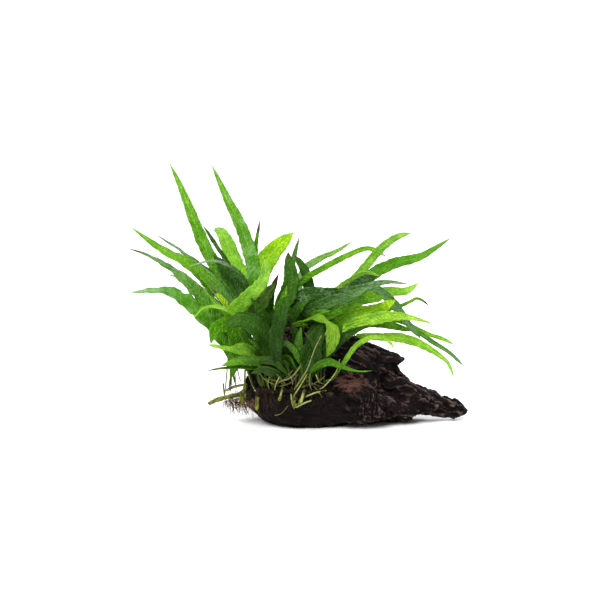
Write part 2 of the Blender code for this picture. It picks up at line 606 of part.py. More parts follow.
def leaf_tree(leaf, points, room=0):
    bm = leaf_form(leaf, points, room)
    tree = BVHTree.FromBMesh(bm)
    bm.free()
    return tree


def settled_route(leaf, leaves_in_place, others):
    """The route that is moved least from the drawn one and clears all that is in place."""
    for slide, lean in TRIES:
        points = leaf_route(leaf, slide, lean)
        if any(leaf_tree(leaf, points, LEAF_ROOM).overlap(tree) for tree in leaves_in_place):
            continue
        if not any(leaf_tree(leaf, points).overlap(tree) for tree in others):
            return points
    raise ValueError(f"no room for the leaf {leaf}")


others = [wood_tree, *(tree_of(made.data) for made in [*rhizome_objects, *tufts])]
leaves_in_place = []
for name, leaf in LEAVES.items():
    points = settled_route(leaf, leaves_in_place, others)
    leaves_in_place.append(leaf_tree(leaf, points, LEAF_ROOM))
    add_object("leaf_" + name, mesh_from(leaf_form(leaf, points), "leaf_" + name), leaf_green, fern)

bpy.data.collections.remove(guides)
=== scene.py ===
"""A java fern on its driftwood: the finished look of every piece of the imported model."""

import math
import random
from collections import namedtuple

import bmesh
import bpy
import numpy as np
from mathutils import Matrix, Vector, noise
from mathutils.bvhtree import BVHTree
from numpy.linalg import norm


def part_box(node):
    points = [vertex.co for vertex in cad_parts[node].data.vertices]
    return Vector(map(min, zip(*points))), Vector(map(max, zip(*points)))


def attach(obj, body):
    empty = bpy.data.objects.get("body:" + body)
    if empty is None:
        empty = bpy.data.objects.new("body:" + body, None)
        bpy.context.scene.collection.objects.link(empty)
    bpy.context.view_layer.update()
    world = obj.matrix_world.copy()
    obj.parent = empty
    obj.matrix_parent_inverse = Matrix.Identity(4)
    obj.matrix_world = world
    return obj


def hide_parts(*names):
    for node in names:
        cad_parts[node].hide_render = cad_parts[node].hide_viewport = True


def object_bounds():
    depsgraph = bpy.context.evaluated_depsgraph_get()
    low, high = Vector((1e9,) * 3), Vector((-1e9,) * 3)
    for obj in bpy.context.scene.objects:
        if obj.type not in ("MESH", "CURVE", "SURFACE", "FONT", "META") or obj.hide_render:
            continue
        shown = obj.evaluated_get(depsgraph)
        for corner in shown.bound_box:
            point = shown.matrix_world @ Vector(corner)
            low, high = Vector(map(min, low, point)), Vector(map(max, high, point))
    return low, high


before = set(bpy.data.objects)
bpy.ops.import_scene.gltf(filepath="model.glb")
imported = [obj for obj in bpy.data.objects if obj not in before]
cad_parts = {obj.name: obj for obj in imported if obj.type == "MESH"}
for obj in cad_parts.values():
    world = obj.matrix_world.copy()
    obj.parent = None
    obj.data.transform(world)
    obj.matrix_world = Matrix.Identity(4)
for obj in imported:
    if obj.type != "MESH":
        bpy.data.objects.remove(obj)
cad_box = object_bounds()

# The studio: a plain white table and white surroundings, a broad soft light above the front and a
# second one behind the plant, which shines through its leaves. The camera stands 1.3 m off and
# looks down by 8 degrees.
MM = 0.001
TILT = math.radians(8)
CAMERA_DISTANCE = 1.3
VIEW_WIDTH = 0.45
SENSOR = 36
VIEW_CENTRE = (-15, 90.5)
RIGHT = Vector((1, 0, 0))
RISE = Vector((0, math.sin(TILT), math.cos(TILT)))
AWAY = Vector((0, math.cos(TILT), -math.sin(TILT)))
middle = (RIGHT * VIEW_CENTRE[0] + RISE * VIEW_CENTRE[1]) * MM
eye = middle - AWAY * CAMERA_DISTANCE
# How the surroundings light the plant, and how much brighter the camera sees them
SURROUNDING_LIGHT, SEEN_BRIGHTER = 0.42, 0.63
# Each lamp's kind, place, width (an angle for the sun) and power, all aimed at the plant's middle
LAMPS = {
    "sky_light": ("SUN", (-0.35, -0.85, 0.95), math.radians(40), 4.4),
    "lamp_behind": ("AREA", (0.35, 0.8, 0.75), 0.7, 13),
}
TABLE_WHITE = (0.94, 0.94, 0.94, 1)
TABLE_REACH = 4
BUMP_STRENGTH = 0.8

scene = bpy.context.scene
scene.view_settings.view_transform = "Standard"
scene.view_settings.look = "None"


def placed(name, data):
    """An object of that make, put in the scene."""
    made = bpy.data.objects.new(name, data)
    scene.collection.objects.link(made)
    return made


lens = bpy.data.cameras.new("camera")
lens.sensor_width = SENSOR
lens.lens = SENSOR * CAMERA_DISTANCE / VIEW_WIDTH
lens.clip_start = 0.05
camera = placed("camera", lens)
camera_rows = [(RIGHT[k], RISE[k], -AWAY[k], eye[k]) for k in range(3)]
camera.matrix_world = Matrix((*camera_rows, (0, 0, 0, 1)))
scene.camera = camera


class Tone:
    """One value in a finish's nodes. Sums and products that are written with it add their nodes."""

    def __init__(self, tree, socket=None):
        self.tree, self.socket = tree, socket

    def node(self, kind, settings=(), inputs=(), output=0):
        """A node of that kind. Settings are made first, then sockets get values or links."""
        made = self.tree.nodes.new("ShaderNode" + kind)
        for name, value in dict(settings).items():
            setattr(made, name, value)
        for name, value in dict(inputs).items():
            if isinstance(value, Tone):
                self.tree.links.new(value.socket, made.inputs[name])
            else:
                made.inputs[name].default_value = value
        return Tone(self.tree, made.outputs[output] if made.outputs else None)

    def maths(self, operation, *values):
        return self.node("Math", {"operation": operation}, enumerate(values))

    def __add__(self, other):
        return self.maths("ADD", self, other)

    __radd__ = __add__

    def __sub__(self, other):
        return self.maths("SUBTRACT", self, other)

    def __rsub__(self, other):
        return self.maths("SUBTRACT", other, self)

    def __mul__(self, other):
        return self.maths("MULTIPLY", self, other)

    __rmul__ = __mul__

    def size(self):
        return self.maths("ABSOLUTE", self)

    def step(self, low, high):
        """0 up to low, 1 from high, and a smooth rise between."""
        sockets = {"Value": self, "From Min": low, "From Max": high}
        return self.node("MapRange", {"interpolation_type": "SMOOTHSTEP"}, sockets)

    def tint(self, first, second):
        """The first colour where this is 0 and the second where it is 1."""
        first, second = [c if isinstance(c, Tone) else (*c, 1) for c in (first, second)]
        return self.node("Mix", {"data_type": "RGBA"}, {0: self, 6: first, 7: second}, 2)

    def scaled(self, by):
        """This colour with its red, green and blue multiplied."""
        settings = {"data_type": "RGBA", "blend_type": "MULTIPLY"}
        return self.node("Mix", settings, {0: 1, 6: self, 7: (*by, 1)}, 2)

    def parts(self):
        """The three numbers of a vector."""
        return [self.node("SeparateXYZ", {}, {0: self}, k) for k in range(3)]

    def vector(self, x, y):
        return self.node("CombineXYZ", {}, {0: x, 1: y, 2: 0})

    def place(self):
        """Where each point of the piece is."""
        return self.node("TexCoord", {}, {}, "Object")

    def noted(self, name, output="Fac"):
        """What the mesh keeps under that name."""
        return self.node("Attribute", {"attribute_name": name}, {}, output)

    def speckle(self, size, stretch=(1, 1, 1), detail=3, turn=(0, 0, 0)):
        """Soft noise from 0 to 1 whose grains are that many units of this vector long."""
        sockets = {"Vector": self, "Rotation": turn, "Scale": tuple(1 / s for s in stretch)}
        laid = self.node("Mapping", {}, sockets)
        sockets = {"Vector": laid, "Scale": 1 / size, "Detail": detail}
        return self.node("TexNoise", {}, sockets)

    def bump(self, depth):
        """The dents that this height makes, for a surface's normal."""
        sockets = {"Height": self, "Strength": BUMP_STRENGTH, "Distance": depth}
        return self.node("Bump", {}, sockets)

    def skin(self, colour, roughness, specular, normal=None):
        """A surface of that colour and gloss."""
        sockets = {"Base Color": colour, "Roughness": roughness, "Specular IOR Level": specular}
        if normal:
            sockets["Normal"] = normal
        return self.node("BsdfPrincipled", {}, sockets)


def cleared(made):
    """The start of an expression in cleared nodes."""
    made.use_nodes = True
    made.node_tree.nodes.clear()
    return Tone(made.node_tree)


def new_finish(name):
    """A material with no nodes, and the start of an expression in it."""
    made = bpy.data.materials.new(name)
    return made, cleared(made)


def covered(made, surface):
    """The material with that surface."""
    surface.node("OutputMaterial", {}, {"Surface": surface})
    return made


def mesh_from(bm, name):
    """The mesh that the bmesh has shaped."""
    mesh = bpy.data.meshes.new(name)
    bm.to_mesh(mesh)
    bm.free()
    return mesh


surroundings = bpy.data.worlds.new("white_surroundings")
tone = cleared(surroundings)
direct = tone.node("LightPath", {}, {}, "Is Camera Ray")
strength = SURROUNDING_LIGHT + SEEN_BRIGHTER * direct
glow = tone.node("Background", {}, {"Color": (1, 1, 1, 1), "Strength": strength})
tone.node("OutputWorld", {}, {"Surface": glow})
scene.world = surroundings

for name, (kind, place, width, power) in LAMPS.items():
    lamp = bpy.data.lights.new(name, kind)
    if kind == "SUN":
        lamp.angle = width
    else:
        lamp.shape = "DISK"
        lamp.size = width
    lamp.energy = power
    stand = placed(name, lamp)
    stand.location = place
    stand.rotation_euler = (middle - Vector(place)).to_track_quat("-Z", "Y").to_euler()

table_finish, tone = new_finish("white_table")
bm = bmesh.new()
bmesh.ops.create_grid(bm, x_segments=1, y_segments=1, size=TABLE_REACH)
table_mesh = mesh_from(bm, "table")
table_mesh.materials.append(covered(table_finish, tone.skin(TABLE_WHITE, 0.9, 0.1)))
table = placed("table", table_mesh)


# The driftwood: one dark waterlogged piece, weathered to ridges along its grain, with a reddish
# knot in its face, a hollow under its slab and a smooth belly. Its solid is remeshed finely and the
# grain is raised on it. Its lighter browns are partly wear and partly painted highlight and glints,
# and its carved furrows hold painted shade.
WOOD_VOXEL = 0.7 * MM
GRAIN_FALL = math.radians(24)
# The picture's middle in the drawing that gives all places, in mm
DRAWING_CENTRE = (-15, 93)
# The sizes of its surface's forms on three axes, in mm. The first three lie along the grain.
RIDGE, FIBRE, PIT = (24, 5.5, 5.5), (11, 1.9, 1.9), (5, 3, 3)
BEND, UPRIGHT_FIBRE, LUMP, KNOT_LUMP = (9, 9, 9), (2.2, 2.2, 15), (6, 6, 6), (7, 7, 4)
BENT_BY = 2.2
# The knot's middle, and how far it reaches across and up
KNOT, KNOT_REACH = (24, 31), (15, 8.5)
# The furrows and ridges of its face: points to the right and up as the camera sees them, reach
# aside and height, in mm. A furrow's height is negative.
WOOD_MARKS = [
    ([(39, 50.5), (47, 48.5), (55, 45), (61, 41)], 3.4, -4.5),
    ([(50, 42.5), (57, 39), (64, 36)], 2.2, -2.6),
    ([(36, 47), (47, 41), (57, 35), (65, 29.5), (72, 24), (81, 18), (90, 15)], 2.8, 1.6),
    ([(42, 38.5), (50, 29), (55.5, 22), (61, 18.5)], 3.8, -4.2),
    ([(70, 20.5), (78, 17.6), (86, 15.4)], 1.1, -2.4),
    ([(12, 40.5), (24, 40.3), (40, 39)], 1.5, -2.4),
    ([(51, 11), (55, 5)], 3, -4),
    ([(53, 21), (61, 14), (68, 8)], 3, 1.4),
    ([(6, 34), (9, 27), (15, 23), (30, 23.5)], 1.6, -1.8),
    ([(44, 24), (44.5, 14)], 1.6, -2),
    ([(38, 22), (40, 12)], 1.3, 1.2),
    ([(31, 31.5), (33, 31.8)], 0.9, -1.6),
    ([(84, 20), (92, 17.5), (100, 14)], 1.1, 1.1),
    ([(97, 15), (99, 15)], 1, -2),
    ([(103, 15.5), (104, 13)], 0.9, -1.6),
    ([(88, 11), (96, 10.5)], 1.2, -1.6),
    ([(20, 58), (34, 50), (44, 44)], 1.4, -1.2),
    ([(12, 52), (24, 46), (34, 42.5)], 1.2, -1.1),
    ([(28, 61), (42, 55.5), (54, 50.5)], 1.6, 0.7),
]
# The beak of the slab's broken edge and the notch under it: place, reach and shift in mm
EDGE_SHIFTS = [((62, 48.7), 2.2, 2.4), ((62.5, 43.5), 3, -3.6)]
WET_BLACK, WET_BROWN = (0.003, 0.0019, 0.0021), (0.008, 0.0048, 0.0044)
# Lighter browns for the ridges and high points: partly wear and dryness, partly painted highlight
# and glints
WORN_AND_LIT_BROWN, DRY_AND_GLINT_BROWN = (0.056, 0.036, 0.03), (0.13, 0.1, 0.09)
KNOT_RED = (0.075, 0.027, 0.018)


def wood_finish():
    made, tone = new_finish("wet_driftwood")
    relief, knot, wear_and_light = tone.noted("relief"), tone.noted("knot"), tone.noted("wear_and_light")
    place, turn = tone.place(), (0, GRAIN_FALL, 0)
    fibres = place.speckle(0.0013, (8, 1, 1), 4, turn)
    patches = place.speckle(0.011, (2.5, 1, 1), 3, turn)
    grit = place.speckle(0.0006)
    colour = patches.step(0.35, 0.7).tint(WET_BLACK, WET_BROWN)
    # Lighter brown on the ridges: partly wear, partly painted highlight
    ridges = (relief * 0.5 + 0.42 + (fibres - 0.5) * 0.7).step(0.4, 0.9) * wear_and_light
    colour = (ridges * 0.9).tint(colour, WORN_AND_LIT_BROWN)
    red = knot * (relief * 0.5 + fibres * 0.6).step(0.15, 0.95)
    colour = (red * 0.8).tint(colour, KNOT_RED)
    # Pale grey-brown on the highest points and the upright fibres: partly dry wood, partly painted
    # glints
    dry_and_glints = (relief * 0.55 + grit * 0.5).step(0.48, 0.7) * wear_and_light
    colour = (dry_and_glints * (1 - 0.8 * knot) * 0.38).tint(colour, DRY_AND_GLINT_BROWN)
    bump = (fibres * 0.6 + grit * 0.4).bump(0.9 * MM)
    return covered(made, tone.skin(colour, 0.55 + 0.25 * patches, 0.05, bump))


def closed_copy(node):
    """The node's solid with its loose triangles joined."""
    bm = bmesh.new()
    bm.from_mesh(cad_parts[node].data)
    bmesh.ops.remove_doubles(bm, verts=bm.verts, dist=1e-6)
    return bm


def finely_meshed(node, voxel, rounded=True):
    """The node's solid in small even faces, with its facets rounded off first if wanted."""
    rough = mesh_from(closed_copy(node), "rough")
    blank = placed("blank", rough)
    rounding = blank.modifiers.new("rounding", "SUBSURF")
    rounding.levels = rounding.render_levels = 1 if rounded else 0
    evening = blank.modifiers.new("evening", "REMESH")
    evening.mode = "VOXEL"
    evening.voxel_size = voxel
    easing = blank.modifiers.new("easing", "SMOOTH")
    easing.factor = 0.5
    easing.iterations = 4
    held = blank.evaluated_get(bpy.context.evaluated_depsgraph_get())
    fine = bpy.data.meshes.new_from_object(held)
    bpy.data.objects.remove(blank)
    bpy.data.meshes.remove(rough)
    return fine


def points_and_normals(mesh):
    points, normals = np.zeros((2, len(mesh.vertices) * 3), np.float32)
    mesh.vertices.foreach_get("co", points)
    mesh.vertex_normals.foreach_get("vector", normals)
    return points.reshape(-1, 3).astype(float), normals.reshape(-1, 3).astype(float)


def move_points(mesh, moved):
    mesh.vertices.foreach_set("co", moved.astype(np.float32).ravel())


def ripple(points, sizes, seed):
    """Noise from -1 to 1 at each point, with grains of those sizes along the three axes."""
    laid = points / np.array(sizes) + seed
    return np.array([noise.noise(p) for p in laid])


def crests(points, sizes, seed):
    """Sharp-crested noise, about 0 on average."""
    laid = points / np.array(sizes) + seed
    values = np.array([noise.ridged_multi_fractal(p, 0.8, 2.1, 4, 0.9, 2.0) for p in laid])
    return (values - values.mean()) / values.std()


def smooth_step(values, low, high):
    t = np.clip((np.asarray(values, float) - low) / (high - low), 0, 1)
    return t * t * (3 - 2 * t)


def seen_at(points):
    """Where the camera sees each point: mm to the right of the origin, and mm above it."""
    offset = points - np.array(eye)
    scale = CAMERA_DISTANCE / MM / (offset @ np.array(AWAY))
    right = offset @ np.array(RIGHT) * scale + DRAWING_CENTRE[0]
    return right, offset @ np.array(RISE) * scale + DRAWING_CENTRE[1]


def beside(right, up, line):
    """How far each seen point is from a line through the given ones, in mm."""
    nearest = np.full(len(right), np.inf)
    for (a, b), (c, d) in zip(line, line[1:]):
        length = (c - a) ** 2 + (d - b) ** 2
        t = np.clip(((right - a) * (c - a) + (up - b) * (d - b)) / length, 0, 1)
        nearest = np.minimum(nearest, np.hypot(right - a - t * (c - a), up - b - t * (d - b)))
    return nearest


def add_piece(name, mesh, finish, slot, *nodes):
    """A finished piece that rides with the model and stands for those CAD nodes."""
    mesh.name = name
    mesh.materials.clear()
    mesh.materials.append(finish)
    mesh.shade_smooth()
    made = placed(name, mesh)
    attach(made, "root")
    if nodes:
        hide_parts(*nodes)


KEPT_AS = {1: ("FLOAT", "value"), 3: ("FLOAT_VECTOR", "vector"), 4: ("FLOAT_COLOR", "color")}


def note(mesh, name, values):
    """Keeps a number, a vector or a colour for each vertex under that name."""
    values = np.asarray(values, np.float32)
    kind, field = KEPT_AS[values.size // len(values)]
    kept = mesh.attributes.new(name, kind, "POINT")
    kept.data.foreach_set(field, values.ravel())


def driftwood():
    mesh = finely_meshed("driftwood", WOOD_VOXEL, False)
    points, normals = points_and_normals(mesh)
    right, up = seen_at(points)
    front = smooth_step(-normals @ np.array(AWAY), -0.1, 0.35)
    grain = np.array(Matrix.Rotation(GRAIN_FALL, 3, "Y").inverted())
    plain, laid = points / MM, points @ grain.T / MM
    warp = np.stack([ripple(plain, BEND, seed) for seed in (4.4, 5.5, 6.6)], 1)
    laid = laid + warp * (0, BENT_BY, BENT_BY)
    # The upright fibres under the knot, and the smooth belly to their left
    upright = front * smooth_step(right, 22, 29)
    upright = upright * smooth_step(-right, -50, -43) * smooth_step(-up, -26, -22)
    belly = smooth_step(-right, -26, -14) * smooth_step(-up, -26, -18) * (0.4 + 0.6 * front)
    off_knot = np.hypot((right - KNOT[0]) / KNOT_REACH[0], (up - KNOT[1]) / KNOT_REACH[1])
    knot = front * smooth_step(1 - off_knot, 0, 0.3)
    ridges = np.clip(crests(laid, RIDGE, seed=3.1), -2.2, 1.8)
    fibres = crests(laid, FIBRE, seed=7.7)
    stringy = crests(plain + warp * 1.5, UPRIGHT_FIBRE, seed=1.3)
    lumps = ripple(plain, LUMP, seed=5.2)
    pits = np.clip(ripple(laid, PIT, seed=9.4) - 0.18, 0, 1) * 3
    gnarls = np.clip(crests(plain, KNOT_LUMP, seed=2.6), -2, 1.5)
    fibres = fibres * (1 - upright) + stringy * upright * 1.6
    rough = (0.52 * ridges - pits) * (1 - 0.35 * knot) * (1 - 0.6 * upright) + 0.3 * fibres
    relief = (1 - 0.6 * belly) * rough
    relief += 0.3 * lumps + knot * (0.7 + 0.45 * gnarls)
    carved = np.zeros(len(points))
    for line, reach, height in WOOD_MARKS:
        carved += height * np.exp(-((beside(right, up, line) / reach) ** 2))
    carved *= front
    foot = smooth_step(points[:, 2], 0.3 * MM, 2.5 * MM)
    moved = points + normals * ((relief + carved) * foot * MM)[:, None]
    for (a, b), reach, shift in EDGE_SHIFTS:
        near = np.exp(-((right - a) ** 2 + (up - b) ** 2) / reach**2)
        moved += np.array(RIGHT) * (near * shift * MM)[:, None]
    moved[:, 2] = np.maximum(moved[:, 2], 0)
    move_points(mesh, moved)
    note(mesh, "relief", np.clip(relief / 1.3, -1, 1))
    note(mesh, "knot", knot)
    # Where the lighter browns go: less on the belly, painted shade in the carved furrows, painted
    # highlight on the raised marks, painted glints on the upright fibres, and none at the left end
    wear_and_light = np.clip(1 - 0.7 * belly + 0.25 * carved + 0.4 * upright, 0, 1.4)
    note(mesh, "wear_and_light", wear_and_light * smooth_step(right, -54, -38))
    add_piece("driftwood_weathered", mesh, wood_finish(), "driftwood", "driftwood")


driftwood()


# The rhizomes: creeping stems about 5 mm thick, with short olive shoots and cut stalks, ringed
# where old leaves fell and half covered in brown scales. Each is the solid of its node, remeshed
# and roughened. Brown roots mat each one more and more between the two heights, in mm.
RHIZOMES = {
    "rhizome_top_front": (20, 100),
    "rhizome_top_back": (20, 100),
    "rhizome_face": (18, 23),
    "rhizome_side": (60, 90),
}
RHIZOME_VOXEL = 0.4 * MM
RHIZOME_RELIEF = 0.65
STEM_OLIVE, STEM_GREEN = (0.09, 0.105, 0.01), (0.17, 0.2, 0.024)
SCALE_BROWN = (0.07, 0.045, 0.018)
MAT_DARK, MAT_BROWN = (0.007, 0.004, 0.003), (0.04, 0.024, 0.012)


def rhizome_finish():
    made, tone = new_finish("scaly_rhizome")
    relief, rooty, place = tone.noted("relief"), tone.noted("rooty"), tone.place()
    patches = place.speckle(0.004)
    grit = place.speckle(0.0006, detail=2)
    fibres = place.speckle(0.0007, (5, 1, 1))
    colour = patches.step(0.3, 0.7).tint(STEM_OLIVE, STEM_GREEN)
    scales = 0.4 - 0.35 * relief + (grit - 0.5) * 0.6 + patches * 0.3 - 0.1
    colour = scales.step(0.4, 0.62).tint(colour, SCALE_BROWN)
    matted = fibres.step(0.4, 0.66).tint(MAT_DARK, MAT_BROWN)
    covering = rooty + (grit - 0.5) * 0.5 + (patches - 0.5) * 0.9
    colour = covering.step(0.3, 0.7).tint(colour, matted)
    bump = (grit * 0.5 + fibres * 0.5).bump(0.6 * MM)
    return covered(made, tone.skin(colour, 0.5 + 0.2 * patches, 0.1, bump))


rhizome_skin = rhizome_finish()
for name, (low, high) in RHIZOMES.items():
    mesh = finely_meshed(name, RHIZOME_VOXEL)
    points, normals = points_and_normals(mesh)
    knobs = ripple(points / MM, (2.4, 2.4, 2.4), seed=2.2)
    rings = np.sin(points[:, 0] / MM * 2.3 + knobs * 2)
    relief = 0.6 * knobs + 0.25 * rings + 0.3 * ripple(points / MM, (0.9, 0.9, 0.9), seed=8.1)
    move_points(mesh, points + normals * (relief * RHIZOME_RELIEF * MM)[:, None])
    note(mesh, "relief", np.clip(relief, -1, 1))
    note(mesh, "rooty", smooth_step(seen_at(points)[1], low, high))
    add_piece(name + "_scaly", mesh, rhizome_skin, "rhizome", name)


# The leaves: thin wet blades on wiry stalks, quilted between their veins, ruffled along their edges
# and often brown at the tip. Each blade is drawn out along the middle line of its solid, which
# keeps its place and turn.
Look = namedtuple("Look", "foot tip skin ruffle quilt brown glint lined", defaults=(0, 0, 0))
DEEP = (0.032, 0.108, 0.004)
DUSKY = (0.068, 0.145, 0.016)
COOL = (0.105, 0.24, 0.055)
MID = (0.115, 0.325, 0.009)
FRESH = (0.225, 0.49, 0.024)
BRIGHT = (0.33, 0.61, 0.04)
PALE = (0.33, 0.59, 0.075)
LIT = (0.45, 0.71, 0.018)
TAWNY = (0.29, 0.38, 0.035)
# A whitish blue-green: painted sheen, as light catches the wet blades towards their tips
PAINTED_SHEEN = (0.28, 0.45, 0.2)
THICK, THIN, YOUNG = range(3)
OLD, GROWN = (DEEP, DEEP, THICK), (DEEP, MID, THICK)
LOOKS = {
    "pale_front": (FRESH, PALE, YOUNG, 0.05, 0.12, 0.015),
    "curl_left": (FRESH, BRIGHT, THIN, 0.1, 0.1),
    "yellow_streaked": (TAWNY, LIT, YOUNG, 0.1, 0.2, 0.1),
    "dusky_centre": (DUSKY, DUSKY, THICK, 0.1, 0.16, 0, 0, 1),
    "bumpy_right": (DEEP, COOL, THICK, 0.1, 0.38, 0, 0.4),
    "tall_left": (MID, FRESH, THIN, 0.05, 0.34, 0, 0.1),
    "tall_right": (MID, FRESH, THIN, 0.05, 0.36, 0, 0.5),
    "arch_left": (DEEP, PAINTED_SHEEN, THICK, 0.05, 0.12, 0, 0.3),
    "upper_left": (MID, FRESH, THIN, 0.12, 0.22),
    "strip_left": (MID, FRESH, THICK, 0.1, 0.12),
    "broad_left": (COOL, MID, THICK, 0.1, 0.22, 0, 0, 1),
    "dark_left": (*OLD, 0.1, 0.22, 0, 0.1),
    "mid_left": (MID, COOL, THICK, 0.2, 0.22, 0.1, 0.2),
    "dark_upright": (*OLD, 0.14, 0.18, 0.06, 0, 1),
    "dark_spike": (DEEP, DUSKY, THICK, 0.22, 0.1, 0.3),
    "dark_leaning": (*OLD, 0.1, 0.18, 0.03),
    "long_arch": (MID, FRESH, THIN, 0.08, 0.16, 0.01),
    "blue_right": (DEEP, COOL, THICK, 0.1, 0.22, 0, 0.2),
    "green_mid": (MID, MID, THICK, 0.1, 0.24),
    "yellow_broad_right": (FRESH, LIT, YOUNG, 0.16, 0.18, 0.01),
    "green_right": (FRESH, BRIGHT, THICK, 0.1, 0.2, 0, 0, 1),
    "twisted_front": (FRESH, BRIGHT, YOUNG, 0.1, 0.12, 0, 0, 1),
    "slim_behind": (*GROWN, 0.1, 0.1, 0.12),
    "yellow_broad": (BRIGHT, LIT, YOUNG, 0.07, 0.16),
    "pale_round": (FRESH, PALE, YOUNG, 0.06, 0.12),
    "dark_slim": (*OLD, 0.1, 0.12, 0.03),
    "slim_upper_left": (DUSKY, COOL, THICK, 0.16, 0.12, 0.06),
    "slim_upright": (COOL, COOL, THICK, 0.1, 0.12, 0.02),
    "pale_right": (PAINTED_SHEEN, PALE, THIN, 0.08, 0.12),
    "right_upper": (FRESH, PALE, THIN, 0.08, 0.22, 0, 0.1),
    "right_long": (MID, MID, THIN, 0.06, 0.26, 0, 0.1),
    "light_arch": (BRIGHT, PALE, THIN, 0.08, 0.12),
    "dark_under_arch": (*OLD, 0.1, 0.34, 0, 0.35),
    "bright_right": (BRIGHT, PALE, YOUNG, 0.08, 0.12),
    "blue_drop": (COOL, COOL, THICK, 0.14, 0.14, 0.03, 0.2),
    "green_right_low": (*GROWN, 0.1, 0.16),
    "bright_drop": (BRIGHT, PALE, YOUNG, 0.12, 0.1, 0.01),
    "thin_curl": (MID, MID, THICK, 0.08, 0.05, 0.08),
    "thin_drop_high": (MID, BRIGHT, THIN, 0.16, 0.08, 0.03),
    "thin_drop_low": (MID, COOL, THICK, 0.16, 0.08, 0.02),
    "wood_arch": (FRESH, BRIGHT, THIN, 0.08, 0.1, 0.01),
    "low_right": (MID, MID, THIN, 0.1, 0.14, 0.01),
    "dark_front": (*OLD, 0.1, 0.16, 0, 0, 1),
    "dark_front_right": (*OLD, 0.1, 0.14, 0, 0, 1),
    "drooping_left": (MID, MID, THIN, 0.1, 0.22),
    "lower_left": (MID, PAINTED_SHEEN, THIN, 0.14, 0.2, 0, 0.3),
    "thin_low_left": (FRESH, BRIGHT, THIN, 0.12, 0.08),
    "green_low_left": (*GROWN, 0.1, 0.16, 0, 0, 1),
    "thin_tip_left": (MID, DUSKY, THICK, 0.16, 0.08, 0.15),
    "pale_low_left": (DEEP, FRESH, THICK, 0.08, 0.12),
    "dark_broad_front": (*OLD, 0.08, 0.16, 0, 0, 1),
    "dark_middle": (*OLD, 0.1, 0.2),
    "bright_front": (*GROWN, 0.08, 0.12, 0, 0, 1),
}
STALK_GREEN, TIP_BROWN = (0.045, 0.07, 0.009), (0.07, 0.042, 0.022)
# Painted glints: the whitish green of light caught on the crinkled vein net
PAINTED_GLINT_GREEN = (0.34, 0.5, 0.34)
# What multiplies a blade's colour where it is lighter and darker: its uneven tone, midrib and
# stripes, painted highlight on its quilted cells and rim, and painted shade in the grooves along
# its veins
LIGHTER, DARKER = (1.5, 1.3, 1.5), (0.42, 0.55, 0.45)
NET_SCALE = 0.38
STALK_RADIUS = 0.75 * MM
# Where along some blades, from foot to tip, they are narrower than their solid
NARROWED = {
    "blade_twisted_front": [(0, 1), (0.35, 0.8), (0.55, 0.8), (0.63, 0.3), (0.74, 1.15), (1, 1)],
    "blade_arch_left": [(0, 0.6)],
    "blade_blue_drop": [(0.45, 0.6), (0.65, 1)],
    "blade_low_right": [(0, 0.5), (0.4, 0.75), (0.7, 0.6), (0.85, 0.4), (1, 0.5)],
    "blade_bright_drop": [(0, 0.7), (0.35, 0.9), (0.55, 1), (0.7, 0.75), (0.85, 0.5), (1, 0.5)],
    "blade_wood_arch": [(0, 0.8), (0.6, 0.85), (1, 0.7)],
}
# Painted shade in the plant's heart, where the leaves crowd: its middle, its width for its height,
# and where its leaves lighten
SHADED_HEART, SHADED_HEART_WIDTH, SHADED_HEART_REACH = (-22, 50), 1.3, (16, 46)
COLUMNS = 28
ROW_LENGTH = 0.75 * MM
FEWEST_ROWS, MOST_ROWS = 40, 150
# A blade's make in mm: its waves, the bites in its edge, its quilting, thickness, midrib and tip
LONG_WAVE, SHORT_WAVE, BITE_LENGTH, PILLOW_LENGTH, PILLOW_WIDTH = 9, 4, 3.5, 2.4, 1.9
EDGE_THICKNESS, MIDDLE_THICKER = 0.17, 0.13
RIB_WIDTH, RIB_ABOVE, RIB_BELOW = 0.55, 0.12, 0.42
TIP_LENGTH = 6
# How far it is bitten, cupped and ruffled for its half width, and how high it is quilted, in mm
BITE, CUP, RUFFLE, PILLOW_HEIGHT = 0.16, 0.16, 3.2, 1.5
MOST_QUILTED = 0.38


